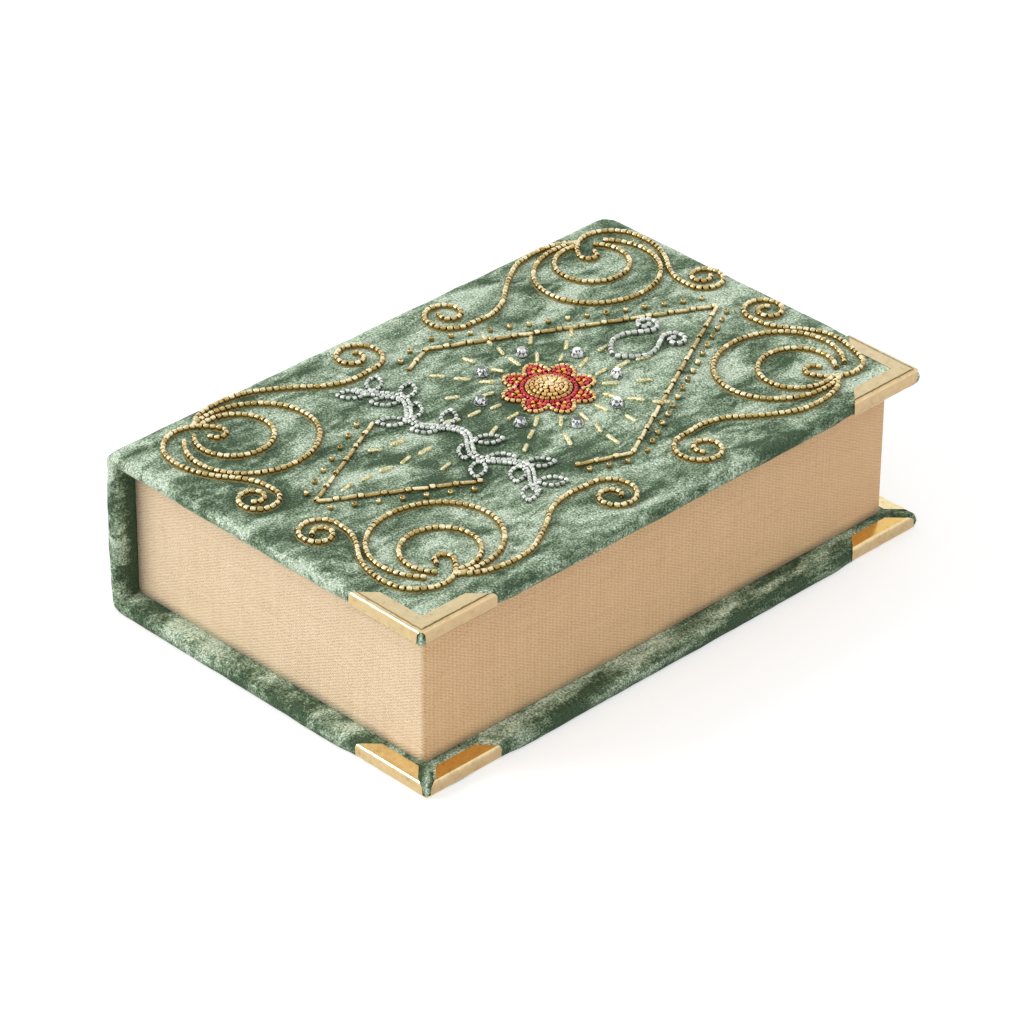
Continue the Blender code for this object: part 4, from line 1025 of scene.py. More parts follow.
strung = bpy.data.node_groups.new("strung_on_line", "GeometryNodeTree")
for socket, kind in (("Line", "NodeSocketGeometry"), ("Bead", "NodeSocketObject"),
                     ("Pitch", "NodeSocketFloat"), ("Start", "NodeSocketFloat"),
                     ("Stop", "NodeSocketFloat"), ("Size jitter", "NodeSocketFloat"),
                     ("Turn jitter", "NodeSocketFloat"), ("Seed", "NodeSocketInt"),
                     ("Finish", "NodeSocketMaterial")):
    strung.interface.new_socket(socket, in_out="INPUT", socket_type=kind)
strung.interface.new_socket("Beads", in_out="OUTPUT", socket_type="NodeSocketGeometry")
given = strung.nodes.new("NodeGroupInput").outputs
length = add(strung, "GeometryNodeSplineLength").outputs["Length"]
stop = arithmetic(strung, "SUBTRACT", length, given["Stop"])
trimmed = add(strung, "GeometryNodeTrimCurve", {"Curve": given["Line"]}, mode="LENGTH")
strung.links.new(given["Start"], trimmed.inputs[4])
strung.links.new(stop, trimmed.inputs[5])
spaced = add(strung, "GeometryNodeCurveToPoints", {"Curve": trimmed.outputs["Curve"],
                                                   "Length": given["Pitch"]}, mode="LENGTH")
aligned = add(strung, "FunctionNodeAlignRotationToVector", {"Vector": spaced.outputs["Tangent"]},
              axis="Z")
turn = add(strung, "FunctionNodeRandomValue", {"Min": (-0.22, -0.22, -3.14), "Max": (0.22, 0.22, 3.14),
                                               "Seed": given["Seed"]}, data_type="FLOAT_VECTOR")
tilt = add(strung, "ShaderNodeVectorMath", {0: turn.outputs["Value"], 3: given["Turn jitter"]},
           operation="SCALE")
as_turn = add(strung, "FunctionNodeEulerToRotation", {"Euler": tilt.outputs[0]})
rotated = add(strung, "FunctionNodeRotateRotation", {"Rotation": aligned.outputs["Rotation"],
                                                     "Rotate By": as_turn.outputs["Rotation"]},
              rotation_space="LOCAL")
smallest = arithmetic(strung, "SUBTRACT", 1.0, given["Size jitter"])
size = add(strung, "FunctionNodeRandomValue", {2: smallest, 3: 1.0, "Seed": given["Seed"]},
           data_type="FLOAT")
shape = add(strung, "GeometryNodeObjectInfo", {"Object": given["Bead"]})
beads = add(strung, "GeometryNodeInstanceOnPoints",
            {"Points": spaced.outputs["Points"], "Instance": shape.outputs["Geometry"],
             "Rotation": rotated.outputs["Rotation"], "Scale": size.outputs[1]})
tone = add(strung, "FunctionNodeRandomValue", {"Seed": 7}, data_type="FLOAT")
toned = add(strung, "GeometryNodeStoreNamedAttribute",
            {"Geometry": beads.outputs["Instances"], "Name": "bead_tone", "Value": tone.outputs[1]},
            data_type="FLOAT", domain="INSTANCE")
real = add(strung, "GeometryNodeRealizeInstances", {"Geometry": toned.outputs["Geometry"]})
finished = add(strung, "GeometryNodeSetMaterial", {"Geometry": real.outputs["Geometry"],
                                                   "Material": given["Finish"]})
end = strung.nodes.new("NodeGroupOutput")
strung.links.new(finished.outputs["Geometry"], end.inputs["Beads"])


def line_object(name, lines):
    """A curve object with one open line for each list of points."""
    curve = bpy.data.curves.new(name, "CURVE")
    curve.dimensions = "3D"
    for points in lines:
        spline = curve.splines.new("POLY")
        spline.points.add(len(points) - 1)
        for spot, point in zip(spline.points, points):
            spot.co = (*point, 1)
    return placed(name, curve)


def line_to_mesh(name, line):
    """The plain mesh that a line gives, which takes its place."""
    mesh = evaluated_mesh(line)
    mesh.name = name
    bpy.data.objects.remove(line)
    return mesh


def string_beads(name, lines, bead, pitch, finish, start=0.0, stop=0.0, size=0.06, turn=1.0, seed=1):
    """Strings copies of one bead along each line and returns them as one plain mesh."""
    line = line_object(name + "_line", lines)
    threader = line.modifiers.new("strung", "NODES")
    threader.node_group = strung
    given = {"Bead": bead, "Pitch": pitch * 0.999, "Start": start, "Stop": stop, "Size jitter": size,
             "Turn jitter": turn, "Seed": seed, "Finish": finish}
    for socket in strung.interface.items_tree:
        if socket.in_out == "INPUT" and socket.name in given:
            threader[socket.identifier] = given[socket.name]
    line.update_tag()
    return line_to_mesh(name, line)


def cord_mesh(name, lines, radius=CORD_RADIUS):
    """The cord along each line."""
    line = line_object(name + "_line", lines)
    line.data.bevel_depth = radius
    line.data.bevel_resolution = 1
    line.data.use_fill_caps = True
    mesh = line_to_mesh(name, line)
    mesh.materials.append(cord_and_halo_finish)
    return mesh


def joined(name, meshes):
    """One piece from several meshes, each keeping its finish."""
    form = bmesh.new()
    finishes = []
    for mesh in meshes:
        before = len(form.faces)
        form.from_mesh(mesh)
        form.faces.ensure_lookup_table()
        slots = {}
        for index, finish in enumerate(mesh.materials):
            if finish not in finishes:
                finishes.append(finish)
            slots[index] = finishes.index(finish)
        for face in form.faces[before:]:
            face.material_index = slots.get(face.material_index, 0)
            face.smooth = True
    made_mesh = bpy.data.meshes.new(name)
    form.to_mesh(made_mesh)
    form.free()
    for finish in finishes:
        made_mesh.materials.append(finish)
    return placed(name, made_mesh)


def measure_rise(made, scale, origin=Vector((0, 0, LID_TOP)), way=Vector((0, 0, 1))):
    """Stores how far each point stands off the cloth, from 0 at origin to 1 at scale. The bead
    finishes paint a highlight high up and shade low down by it.
    """
    rise = made.data.attributes.new("rise", "FLOAT", "POINT")
    for value, vertex in zip(rise.data, made.data.vertices):
        value.value = min(1.0, max(0.0, (vertex.co - origin).dot(way) / scale))


def bead_finish(name, deep, body, light, bright, metallic, roughness=0.14, coat=0.8):
    """Silver-lined glass, with painted light: painted shade where it meets the cloth and at its rims, a
    painted highlight along its top, each bead a little different."""
    made, tree, shader, place_on = finish_of(name, Metallic=metallic, Coat_Weight=coat,
                                             Coat_Roughness=0.05)
    rise = stored(tree, "rise")
    tone = stored(tree, "bead_tone")
    rim = stored(tree, "rim")
    lining = noise_of(tree, place_on, scale=1500.0, detail=1.0)
    # Painted light: rise lifts the tone to a painted highlight on top, rim darkens the ends as painted
    # shade.
    level = arithmetic(tree, "MULTIPLY_ADD", tone, 0.26, arithmetic(tree, "MULTIPLY", rise, 0.74))
    level = arithmetic(tree, "MULTIPLY_ADD", arithmetic(tree, "SUBTRACT", lining, 0.5), 0.5, level)
    level = arithmetic(tree, "MULTIPLY_ADD", rim, -0.55, level)
    toned = ramp(tree, level, [(0.05, deep), (0.40, body), (0.68, light), (0.88, bright)])
    rough = arithmetic(tree, "MULTIPLY_ADD", tone, 0.12, roughness - 0.06)
    feed(shader, toned, rough, bump(tree, lining, distance=0.00008, strength=0.3))
    return made


gold = bead_finish("gold_beads", (0.165, 0.100, 0.012), (0.28, 0.175, 0.028), (0.47, 0.335, 0.090),
                   (0.96, 0.86, 0.54), metallic=0.8)
# The cord is real, and its colour where it shows beside and between the beads stands as painted shade and a
# painted golden reflection on the velvet.
cord_and_halo_finish, tree, shader, place_on = finish_of("bead_cord", Roughness=0.6)
twist = noise_of(tree, place_on, scale=1800.0)
feed(shader, ramp(tree, twist, [(0.3, (0.13, 0.100, 0.022)), (0.7, (0.34, 0.26, 0.075))]),
     normal=bump(tree, twist, distance=0.0001))

seed_bead = tube_bead("seed_bead", SEED, SEED_LENGTH)


def ellipse_arc(centre, half_widths, start, end, step=FINE_STEP):
    sweep = math.radians(end - start)
    pieces = round(abs(sweep) * sum(half_widths) / 2 / step)
    angles = [math.radians(start) + sweep * piece / pieces for piece in range(pieces + 1)]
    return [(centre[0] + half_widths[0] * math.cos(a), centre[1] + half_widths[1] * math.sin(a))
            for a in angles]


def scroll_lines(end, side_name):
    """The four strands of one corner, in the lid's plan."""
    fore = side_name == "fore"
    knot_shift, volute_shift = [Vector(shift) for shift in SCROLL_SHIFTS[f"{end}_{side_name}"]]

    def on_corner(point, shift=knot_shift):
        from_side, from_end = point[0] + shift.x, point[1] + shift.y
        if fore:
            from_end = max(from_end, min(CORNER_BAND, CORNER_LEG - from_side) + METAL_CLEAR)
        x = lid_high.x - from_side if fore else lid_low.x + from_side
        y = lid_high.y - from_end
        return Vector((x, y if end == "head" else -y))

    end_volute = [on_corner(point) for point in spiral(*END_VOLUTE)]
    edge_sweep = smooth_line([end_volute[0], *[on_corner(point) for point in EDGE_SWEEP]])
    side_volute = [on_corner(point, volute_shift) for point in spiral(*SIDE_VOLUTE)]
    start, stop = SIDE_SWEEP[0][1], SIDE_SWEEP[-1][1]
    side_sweep = [on_corner(point, knot_shift.lerp(volute_shift, (point[1] - start) / (stop - start)))
                  for point in SIDE_SWEEP]
    lines = [[*reversed(end_volute[1:]), *edge_sweep],
             [*smooth_line([*side_sweep, side_volute[0]]), *side_volute[1:]]]
    for crescent in CRESCENTS:
        lines.append([on_corner(point) for point in ellipse_arc(*crescent, *CRESCENT_TURN)])
    return lines


def raised(lines, height=bead_line_height):
    """Plan lines at a height."""
    return [[(point[0], point[1], height) for point in line] for line in lines]


for end in ("tail", "head"):
    for side_name in ("spine", "fore"):
        node = f"scroll_{end}_{side_name}"
        lines = scroll_lines(end, side_name)
        beads = string_beads(f"{node}_beads", raised(lines), seed_bead, SEED_PITCH, gold, seed=3)
        thread = cord_mesh(f"{node}_cord", raised(lines, LID_TOP - SCROLL_CORD_DROP))
        scroll = joined(f"{node}_beads", [beads, thread])
        measure_rise(scroll, SEED - SEED_SINK)
        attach(scroll, "lid")
        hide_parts(node)

# Lozenge: bugle beads and seed beads in turn on one thread, sewn by hand in straight runs that leave
# room for the garland, with single seed beads sewn on outside them, each with its hole up.

BUGLE = 0.0015
BUGLE_LENGTH = 0.0051
BUGLE_UNIT = 0.0071
BUGLE_AT, SEED_AT = 0.38, 0.87  # where the bugle and the seed bead lie in a unit
LOZENGE_MIDDLE = 0.0040  # its middle along the lid; the single beads lie on the far side of each run
LOZENGE_CORD = 0.0008
LOZENGE_CORD_DROP = 0.0004
DOT_FOOT = 0.36 * SEED  # a single bead's thread starts this far above the lid's top
DOT_THREAD = 0.0008
DOT_LEAN = 0.0004  # its upper end may lie this far aside
LEAN_CELLS = 900  # noise cells per metre in the leaning
ORNAMENT_X = spine_face + 0.0644
HEAD_CORNERS = ((-0.0360, -0.0086), (-0.0410, 0.0036), (0.0009, 0.0846), (0.0422, 0.0060),
                (0.0356, -0.0107))
TAIL_CORNERS = ((-0.0215, -0.0362), (-0.0013, -0.0775), (0.0234, -0.0356))
# Each run's row of single beads, as its distance out and its pitch.
HEAD_DOTS = ((0.0040, 0.0060), (0.0054, 0.0062), (0.0036, 0.0053), (0.0036, 0.0060))
TAIL_DOTS = ((0.0040, 0.0067), (0.0040, 0.0066))

bugle_bead = tube_bead("bugle_bead", BUGLE, BUGLE_LENGTH, sides=8)


def from_middle(across, along):
    """A place on the lid, measured from the middle of the ornaments."""
    return Vector((ORNAMENT_X + across, along))


def standing_beads(name, spots, seed):
    """Single seed beads that stand on the cloth with their holes up, each leaning a little."""
    lines = []
    for x, y in spots:
        cell = Vector((x * LEAN_CELLS, y * LEAN_CELLS, 0))
        lean = Vector((noise.noise(cell), noise.noise(cell + Vector((0, 0, 9))))) * 2
        foot = Vector((x, y, LID_TOP + DOT_FOOT))
        lines.append([foot, foot + Vector((lean.x * DOT_LEAN, lean.y * DOT_LEAN, DOT_THREAD))])
    return string_beads(name, lines, seed_bead, SEED_PITCH, gold, size=0.12, seed=seed)


for node, corners, dot_rows in (("lozenge_head", HEAD_CORNERS, HEAD_DOTS),
                                ("lozenge_tail", TAIL_CORNERS, TAIL_DOTS)):
    meshes = []
    spots = []
    for number, (a, b) in enumerate(zip(corners, corners[1:])):
        a, b = from_middle(*a), from_middle(*b)
        unit = (b - a).length / max(1, round((b - a).length / BUGLE_UNIT))
        way = (b - a).normalized()
        meshes.append(string_beads(
            f"{node}_bugles_{number}", raised([[a, b]], LID_TOP - SEED_SINK + BUGLE / 2), bugle_bead, unit,
            gold, start=unit * BUGLE_AT, stop=unit * (1 - BUGLE_AT), size=0.05, turn=0.3, seed=number + 4))
        meshes.append(string_beads(
            f"{node}_seeds_{number}", raised([[a, b]]), seed_bead, unit,
            gold, start=unit * SEED_AT, stop=unit * (1 - SEED_AT), size=0.1, seed=number + 4))
        out = Vector((-way.y, way.x))
        if out.dot(a.lerp(b, 0.5) - from_middle(0, LOZENGE_MIDDLE)) < 0:
            out = -out
        distance, pitch = dot_rows[number]
        dots = round((b - a).length / pitch)
        spots += [a.lerp(b, (dot + 0.5) / dots) + out * distance for dot in range(dots)]
    meshes.append(standing_beads(f"{node}_dots", spots, seed=21))
    runs = [[from_middle(*corner) for corner in corners]]
    meshes.append(cord_mesh(f"{node}_cord", raised(runs, LID_TOP - LOZENGE_CORD_DROP), LOZENGE_CORD))
    lozenge = joined(f"{node}_beads", meshes)
    measure_rise(lozenge, BUGLE - SEED_SINK)
    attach(lozenge, "lid")
    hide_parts(node)

# Rays: running stitches in pale metallic thread that spread from the rosette over the velvet, each
# stitch lying flat and dipping into the cloth at its ends.

ROSETTE_Y = 0.0140
RAYS = 16
RAY_START = 0.0175
RAY_END = 0.0345
SHORT_RAY = 0.86  # every second ray ends at this share of the others' reach
STITCH_LENGTH = 0.0056
STITCH_PITCH = 0.0064
STITCH_WIDTH = 0.0016
STITCH_RISE = 0.0003
STITCH_MARGIN = 0.001  # bare cloth at each end of a ray
LONG_RAYS = (((-0.0085, -0.0375), (-0.0105, -0.0470)), ((0.0, -0.0350), (-0.0012, -0.0665)),
             ((0.0100, -0.0365), (0.0108, -0.0440)))

ray_thread, tree, shader, place_on = finish_of("metallic_thread", Metallic=0.6)
strands = noise_of(tree, place_on, scale=1900.0)
feed(shader, ramp(tree, strands, [(0.36, (0.40, 0.34, 0.10)), (0.50, (0.84, 0.76, 0.40)),
                                  (0.60, (0.98, 0.95, 0.70))]),
     arithmetic(tree, "MULTIPLY_ADD", strands, 0.3, 0.2), bump(tree, strands, distance=0.0002))

stitch = turned_form("thread_stitch", [(STITCH_WIDTH / 2 * r, STITCH_LENGTH / 2 * a) for r, a in (
    (0.3, -1.0), (0.85, -0.85), (1.0, -0.5), (0.9, 0.0), (1.0, 0.5), (0.85, 0.85), (0.3, 1.0))], sides=8)
rays = []
for number in range(RAYS):
    angle = 2 * math.pi * (number + 0.5) / RAYS
    way = Vector((math.cos(angle), math.sin(angle)))
    reach = RAY_END * (1.0 if number % 2 else SHORT_RAY)
    centre = from_middle(0, ROSETTE_Y)
    rays.append([centre + way * RAY_START, centre + way * reach])
rays += [[from_middle(*start), from_middle(*stop)] for start, stop in LONG_RAYS]
ray_mesh = string_beads("ray_stitches", raised(rays, LID_TOP + STITCH_RISE), stitch, STITCH_PITCH,
                        ray_thread, start=STITCH_MARGIN, stop=STITCH_MARGIN, size=0.2, seed=11)
ray_piece = joined("ray_stitches", [ray_mesh])
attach(ray_piece, "lid")

# Rosette: a low dome of amber seed beads sewn on in rings, with a ring of red ones round it and eight
# petals, each filled with rows of small amber, red and orange beads.

DOME = 0.0072  # radius
DOME_HEIGHT = 0.0026
PETALS = 8
PETAL_ROOT = DOME + 2 * SEED
PETAL_TIP = 0.0150
PETAL_STEPS = 24  # points along one row of a petal, less one
SMALL = 0.0015  # diameter of the petals' beads
PETAL_LIFT = 0.4 * SMALL  # of their middles above the lid's top
rosette = Vector((*from_middle(0, ROSETTE_Y), LID_TOP))

amber = bead_finish("amber_beads", (0.13, 0.040, 0.003), (0.44, 0.20, 0.030), (0.74, 0.43, 0.11),
                    (1.0, 0.84, 0.50), metallic=0.6)
small_bead = tube_bead("small_bead", SMALL, SMALL * 0.98, sides=8)


def ring_line(radius, height, start=0.0):
    """A ring round the rosette's middle, open by one step."""
    pieces = max(12, round(2 * math.pi * radius / FINE_STEP))
    return circle_at(rosette, radius, height, pieces, start)


dome_lines = []
dome_top = DOME_HEIGHT - SMALL * 0.42
radius = DOME - SMALL / 2
while radius > SMALL * 0.6:
    height = max(SMALL * 0.35, dome_top * math.sqrt(1 - (radius / DOME) ** 2))
    dome_lines.append(ring_line(radius, height, start=len(dome_lines) * 0.7))
    radius -= SMALL * 0.92
top = [rosette + Vector((across, 0, dome_top)) for across in (-SMALL * 0.45, SMALL * 0.45)]
dome = joined("rosette_dome_beads", [
    string_beads("dome_rings", dome_lines, small_bead, SMALL * 1.04, amber, size=0.05, seed=5),
    string_beads("dome_top", [top], small_bead, SMALL * 0.9, amber, seed=6)])
measure_rise(dome, DOME_HEIGHT)
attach(dome, "lid")
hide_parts("medallion_centre")

red = bead_finish("red_beads", (0.06, 0.001, 0.003), (0.30, 0.003, 0.012), (0.52, 0.008, 0.024),
                  (0.85, 0.12, 0.13), metallic=0.5, coat=0.25)
orange = bead_finish("orange_beads", (0.20, 0.04, 0.002), (0.62, 0.16, 0.008), (0.85, 0.30, 0.02),
                     (1.0, 0.62, 0.22), metallic=0.5, coat=0.25)
ring_radius = DOME + SMALL * 0.55
petal_rows = ([], [], [])  # from the petals' edges inwards
for number in range(PETALS):
    middle_angle = 2 * math.pi * (number + 0.5) / PETALS
    for inset, rows in enumerate(petal_rows):
        outline = []
        for step in range(PETAL_STEPS + 1):
            share = step / PETAL_STEPS
            angle = middle_angle + (share - 0.5) * 2 * math.pi / PETALS * (1 - 0.26 * inset)
            swell_out = abs(math.sin(math.pi * share))
            reach = PETAL_ROOT + (PETAL_TIP - PETAL_ROOT) * swell_out - SMALL * (0.5 + 0.98 * inset)
            if reach > ring_radius + SMALL * 0.85:
                outline.append(rosette + Vector((reach * math.cos(angle), reach * math.sin(angle),
                                                 PETAL_LIFT)))
        if len(outline) > 2:
            rows.append(outline)
petal_rows[1].append(ring_line(ring_radius, PETAL_LIFT))
petals = joined("rosette_petal_beads", [
    string_beads(f"petal_row_{inset}", petal_rows[inset], small_bead, SMALL * 1.02, finish, size=0.05,
                 seed=8 + inset) for inset, finish in enumerate((amber, red, orange))])
measure_rise(petals, SMALL)
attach(petals, "lid")
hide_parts("medallion_petals")

# Crystals: eight foil-backed stones, cut with a table and two rows of facets, each held in a small
# silver cup by four claws. Their facets carry painted reflections, some dark and the rest white.

STONES = 8
STONE_SIDES = 8
STONE_TURN = 0.9  # each stone is turned by this from the one before
STONE_WIDTH, CUP_WIDTH = 0.93, 0.94  # shares of the room that a stone has
CUP_SIDES = 16

stone_finish, tree, shader, place_on = finish_of("cut_crystal", Metallic=0.25, Roughness=0.04,
                                                 Coat_Weight=1.0, Coat_Roughness=0.02)
facet = stored(tree, "facet")
foil = noise_of(tree, place_on, scale=1100.0, detail=1.0)
# Painted reflections: each face's tone picks its painted reflection, from dark to white.
feed(shader, ramp(tree, facet, [(0.0, (0.02, 0.03, 0.03)), (0.38, (0.12, 0.15, 0.15)),
                                (0.46, (0.80, 0.83, 0.83)), (0.6, (1.0, 1.0, 1.0))]),
     normal=bump(tree, foil, distance=0.00003, strength=0.2))
cup_finish, tree, shader, place_on = finish_of("silver_cup", Metallic=1.0)
metal = place_effect(tree, wear, {"Vector": place_on, "Scale": 1500.0})
feed(shader, ramp(tree, metal["Rub"], [(0.3, (0.20, 0.20, 0.20)), (0.7, (0.62, 0.63, 0.64))]),
     arithmetic(tree, "MULTIPLY_ADD", metal["Rub"], 0.3, 0.12))


def cut_stone(name, centre, radius, height, turn):
    """Table, star facets, main facets and girdle. facet holds each face's painted reflection, dark to white.
    """
    form = bmesh.new()
    tone = form.faces.layers.float.new("facet")
    rows = []
    for share, up, offset in ((1.0, 0.12, 0.0), (1.0, 0.24, 0.0), (0.82, 0.66, 0.5), (0.55, 1.0, 0.0)):
        start = turn + 2 * math.pi * offset / STONE_SIDES
        row = circle_at(centre, radius * share, height * up, STONE_SIDES, start)
        rows.append([form.verts.new(point) for point in row])
    faces = []
    for side in range(STONE_SIDES):
        following = (side + 1) % STONE_SIDES
        faces.append((rows[0][side], rows[0][following], rows[1][following], rows[1][side]))
        faces.append((rows[1][side], rows[1][following], rows[2][side]))
        faces.append((rows[1][following], rows[2][following], rows[2][side]))
        faces.append((rows[2][side], rows[3][following], rows[3][side]))
        faces.append((rows[2][side], rows[2][following], rows[3][following]))
    faces.append(tuple(rows[3]))
    faces.append(tuple(reversed(rows[0])))
    for number, corners in enumerate(faces):
        made = form.faces.new(corners)
        made[tone] = (number * 0.618 + turn) % 1.0
    mesh = mesh_from(form, name, smooth=False)
    mesh.materials.append(stone_finish)
    return mesh


def claw_cup(name, centre, radius, height, turn):
    """A shallow tapered cup with four claws bent over the stone."""
    form = bmesh.new()
    profile = ((0.86, 0.02), (0.95, 0.06), (1.05, 0.22), (1.0, 0.25), (0.90, 0.12))
    close_rings(form, [[form.verts.new(point)
                        for point in circle_at(centre, radius * r, height * up, CUP_SIDES)]
                       for r, up in profile])
    for claw in range(4):
        angle = turn + math.pi / 4 + claw * math.pi / 2
        out = Vector((math.cos(angle), math.sin(angle), 0))
        across = Vector((-out.y, out.x, 0)) * radius * 0.09
        spine = [(1.02, 0.18), (1.03, 0.42), (0.93, 0.64), (0.82, 0.76)]
        for (r, up), (next_r, next_up) in zip(spine, spine[1:]):
            a = centre + out * radius * r + Vector((0, 0, height * up))
            b = centre + out * radius * next_r + Vector((0, 0, height * next_up))
            lift = Vector((0, 0, height * 0.07)) + out * radius * 0.05
            box = [form.verts.new(point) for point in (
                a - across, a + across, b + across, b - across,
                a - across + lift, a + across + lift, b + across + lift, b - across + lift)]
            for face in ((0, 1, 2, 3), (4, 5, 6, 7), (0, 1, 5, 4), (1, 2, 6, 5), (2, 3, 7, 6), (3, 0, 4, 7)):
                form.faces.new([box[corner] for corner in face])
    mesh = mesh_from(form, name, smooth=False)
    mesh.materials.append(cup_finish)
    return mesh


for number in range(STONES):
    node = f"crystal_{number + 1}"
    low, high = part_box(node)
    centre = Vector(((low.x + high.x) / 2, (low.y + high.y) / 2, LID_TOP))
    radius, height = (high.x - low.x) / 2, high.z - LID_TOP
    turn = number * STONE_TURN
    stone = joined(f"{node}_stone", [cut_stone(node, centre, radius * STONE_WIDTH, height, turn),
                                     claw_cup(node, centre, radius * CUP_WIDTH, height, turn)])
    for face in stone.data.polygons:
        face.use_smooth = False
    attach(stone, "lid")
    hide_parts(node)

# Garland and lyre: clear silver-lined seed beads couched on the velvet. The garland's waving stem is a
# double row with pointed leaves in outline, the lyre two mirrored curls in single rows.

GARLAND_Y = -0.0245
GARLAND_HALF = 0.0385  # half its length
GARLAND_WAVE = 0.0035
GARLAND_WAVES = 3
GARLAND_LEAVES = 8
GARLAND_LIFT = 0.42 * SMALL  # of its beads' middles above the lid's top
STEM_STEPS = 240
LEAF_LENGTH = 0.0105
LEAF_WIDTH = 0.0060
LEAF_LEAN = 52  # degrees from the stem's line
# One edge of a leaf, as shares of its length and of its width.
LEAF_EDGE = ((0.18, 0.12), (0.32, 0.36), (0.55, 0.5), (0.75, 0.36), (0.93, 0.06))
LYRE_FOOT = (0.0013, 0.0415)
LYRE_SWEEP = ((0.0040, 0.0438), (0.0066, 0.0477), (0.0064, 0.0522), (0.0042, 0.0562))
LYRE_VOLUTE = ((0.0062, 0.0607), (0.0062, 0.0607), 0.0041, 0.0011, 196, -1.1)

silver = bead_finish("silver_beads", (0.12, 0.15, 0.12), (0.31, 0.35, 0.30), (0.56, 0.60, 0.53),
                     (0.94, 0.96, 0.88), metallic=0.5)


def garland_point(along):
    """A place on the stem, from -1 at its spine end to 1 at its fore end."""
    return (GARLAND_HALF * along,
            GARLAND_Y + GARLAND_WAVE * math.cos(math.pi * GARLAND_WAVES * along))


stem = [from_middle(*garland_point(-1 + 2 * step / STEM_STEPS)) for step in range(STEM_STEPS + 1)]
garland_lines = []
for shift in (-SMALL * 0.5, SMALL * 0.5):
    row = []
    for before, at, after in zip(stem, stem[1:], stem[2:]):
        way = (after - before).normalized()
        row.append(at + Vector((-way.y, way.x)) * shift)
    garland_lines.append(row)
for number in range(GARLAND_LEAVES):
    along = -1 + 2 * (number + 0.5) / GARLAND_LEAVES
    root = from_middle(*garland_point(along))
    heading = math.radians(LEAF_LEAN if along > 0 else 180 - LEAF_LEAN)
    for up in (-1, 1):
        out = Vector((math.cos(up * heading), math.sin(up * heading)))
        across = Vector((-out.y, out.x))
        for side in (-1, 1):
            outline = [root + out * LEAF_LENGTH * a + across * side * b * (LEAF_WIDTH - SMALL)
                       for a, b in LEAF_EDGE]
            garland_lines.append(smooth_line(outline))
garland_mesh = string_beads("garland_beads", raised(garland_lines, LID_TOP + GARLAND_LIFT), small_bead,
                            SMALL * 1.03, silver, size=0.06, seed=13)
garland = joined("garland_beads", [garland_mesh])
measure_rise(garland, SMALL)
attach(garland, "lid")
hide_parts("silver_garland")

for side_name, side in (("spine", -1), ("fore", 1)):
    volute = spiral(*LYRE_VOLUTE)
    curl = smooth_line([LYRE_FOOT, *LYRE_SWEEP, volute[0]]) + volute[1:]
    curl = [from_middle(side * across, along) for across, along in curl]
    curl_mesh = string_beads(f"lyre_{side_name}", raised([curl]), seed_bead, SEED_PITCH, silver, seed=17)
    lyre = joined(f"lyre_{side_name}_beads", [curl_mesh])
    measure_rise(lyre, SEED)
    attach(lyre, "lid")
    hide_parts(f"silver_lyre_{side_name}")

# Spine beads: one long wave of gold seed beads along the middle of the spine, threaded on the same
# cord and couched on the padded velvet.

SPINE_WAVE = 0.0100  # how far it swings each way from its middle line
SPINE_WAVE_HALF = 0.0720  # half its length
SPINE_WAVES = 5
SPINE_WAVE_STEPS = 400
SPINE_CORD_DROP = 0.0004

wave_middle = (spine_low.z + spine_high.z) / 2
wave_line = []
for step in range(SPINE_WAVE_STEPS + 1):
    along = -1 + 2 * step / SPINE_WAVE_STEPS
    height = wave_middle + SPINE_WAVE * math.cos(math.pi * SPINE_WAVES * along)
    wave_line.append((spine_face - spine_bulge(height) + SEED_SINK - SEED / 2, SPINE_WAVE_HALF * along,
                      height))
wave_mesh = string_beads("spine_wave", [wave_line], seed_bead, SEED_PITCH, gold, seed=19)
wave_cord = cord_mesh("spine_cord", [[(x + SEED / 2 + SPINE_CORD_DROP, y, z) for x, y, z in wave_line]])
spine_wave = joined("spine_wave_beads", [wave_mesh, wave_cord])
measure_rise(spine_wave, SEED - SEED_SINK, origin=Vector((spine_face, 0, 0)), way=Vector((-1, 0, 0)))
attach(spine_wave, "case")
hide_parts("spine_beads")

for template in (seed_bead, bugle_bead, small_bead, stitch):
    bpy.data.objects.remove(template)

# Floor, light and camera: a plain white floor, one broad lamp from the upper left and soft light from
# all round, seen by a long lens from above the corner between the tail and the fore edge.

KEY_PLACE = (-0.58, -0.62, 0.53)  # where the lamp stands, as a direction
KEY_STRENGTH = 1.45
KEY_SPREAD = math.radians(28)
SOFT_LIGHT = 0.88  # strength of the light from all round, which is seen at full strength
FLOOR_GLOW = 0.5  # lifts the floor to white where it is seen
CAMERA_PLACE = (0.8901, -0.8807, 0.8137)
CAMERA_LENS = 176.82
AZIMUTH = math.radians(45.38)
ELEVATION = math.radians(32.41)
ROLL = 0.00817  # radians
FLOOR_HALF = 4.0

form = bmesh.new()
bmesh.ops.create_grid(form, x_segments=1, y_segments=1, size=FLOOR_HALF)
floor_mesh = bpy.data.meshes.new("floor")
form.to_mesh(floor_mesh)
form.free()
floor_finish, tree, shader, place_on = finish_of("floor_white", Roughness=0.9,
                                                 Base_Color=(0.62, 0.62, 0.62, 1.0))


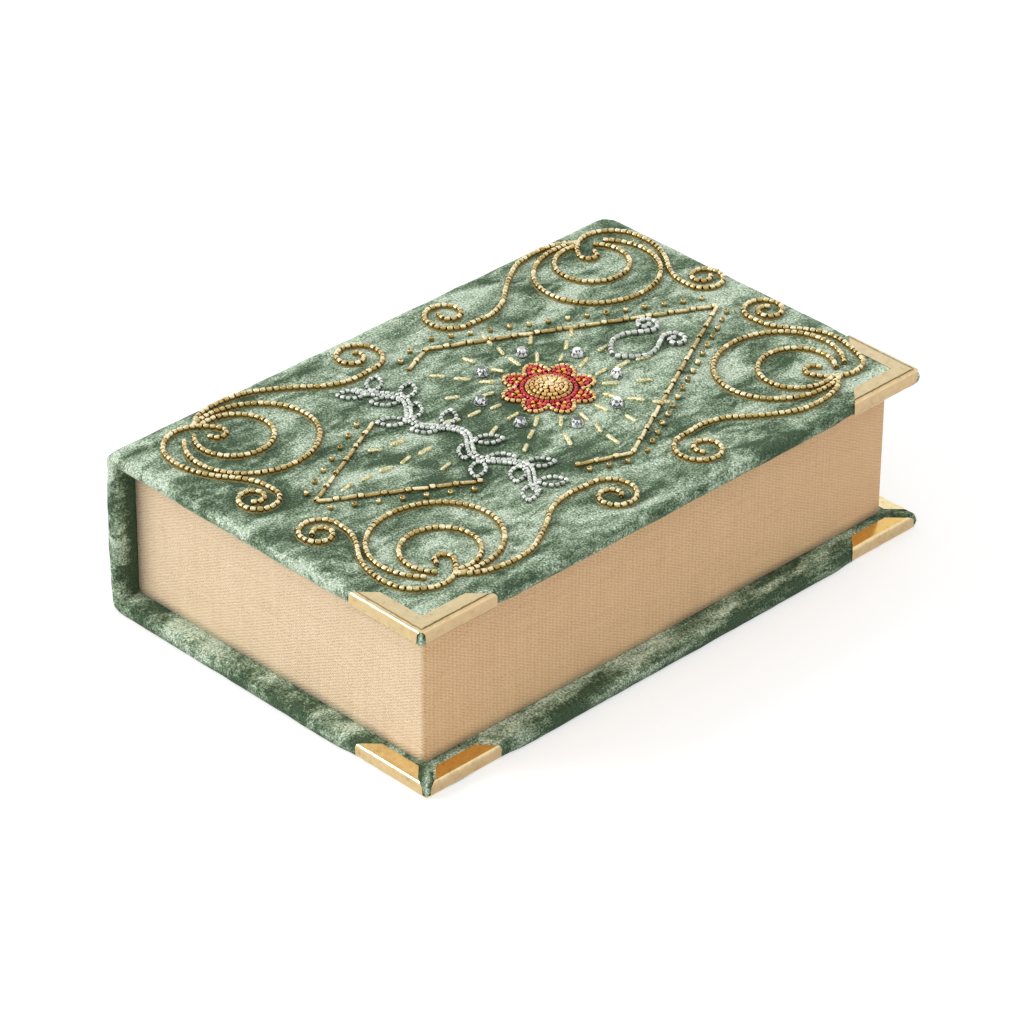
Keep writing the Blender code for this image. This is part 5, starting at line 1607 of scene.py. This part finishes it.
def directly_seen(tree):
    """1 for camera, glossy and transmission rays, so the white shows in metal and glass too."""
    path = add(tree, "ShaderNodeLightPath").outputs
    either = arithmetic(tree, "MAXIMUM", path["Is Camera Ray"], path["Is Glossy Ray"])
    return arithmetic(tree, "MAXIMUM", either, path["Is Transmission Ray"])


seen_glow = arithmetic(tree, "MULTIPLY", directly_seen(tree), FLOOR_GLOW)
glow = add(tree, "ShaderNodeEmission", {"Strength": seen_glow})
both = add(tree, "ShaderNodeAddShader", {0: shader.outputs["BSDF"], 1: glow.outputs["Emission"]})
tree.links.new(both.outputs["Shader"], tree.nodes["Material Output"].inputs["Surface"])
floor = piece_of("floor", floor_mesh, floor_finish)

world = bpy.data.worlds.new("soft_light")
bpy.context.scene.world = world
world.use_nodes = True
tree = world.node_tree
strength = add(tree, "ShaderNodeMapRange", {"Value": directly_seen(tree), "To Min": SOFT_LIGHT,
                                            "To Max": 1.0})
tree.links.new(strength.outputs["Result"], tree.nodes["Background"].inputs["Strength"])
tree.nodes["Background"].inputs["Color"].default_value = (1.0, 1.0, 1.0, 1.0)

key = bpy.data.lights.new("key", "SUN")
key.energy = KEY_STRENGTH
key.angle = KEY_SPREAD
key_lamp = placed("key", key)
key_lamp.rotation_euler = Vector(KEY_PLACE).to_track_quat("Z", "Y").to_euler()

back = Vector((math.sin(AZIMUTH) * math.cos(ELEVATION), -math.cos(AZIMUTH) * math.cos(ELEVATION),
               math.sin(ELEVATION)))
level = Vector((math.cos(AZIMUTH), math.sin(AZIMUTH), 0))
right = level * math.cos(ROLL) + back.cross(level) * math.sin(ROLL)
upwards = back.cross(right)
camera = bpy.data.cameras.new("camera")
camera.lens = CAMERA_LENS
camera.sensor_width = 36.0
camera.clip_start = 0.05
viewpoint = placed("camera", camera)
turned = Matrix((right, upwards, back)).transposed().to_4x4()
viewpoint.matrix_world = Matrix.Translation(CAMERA_PLACE) @ turned
bpy.context.scene.camera = viewpoint
bpy.context.scene.view_settings.view_transform = "Standard"
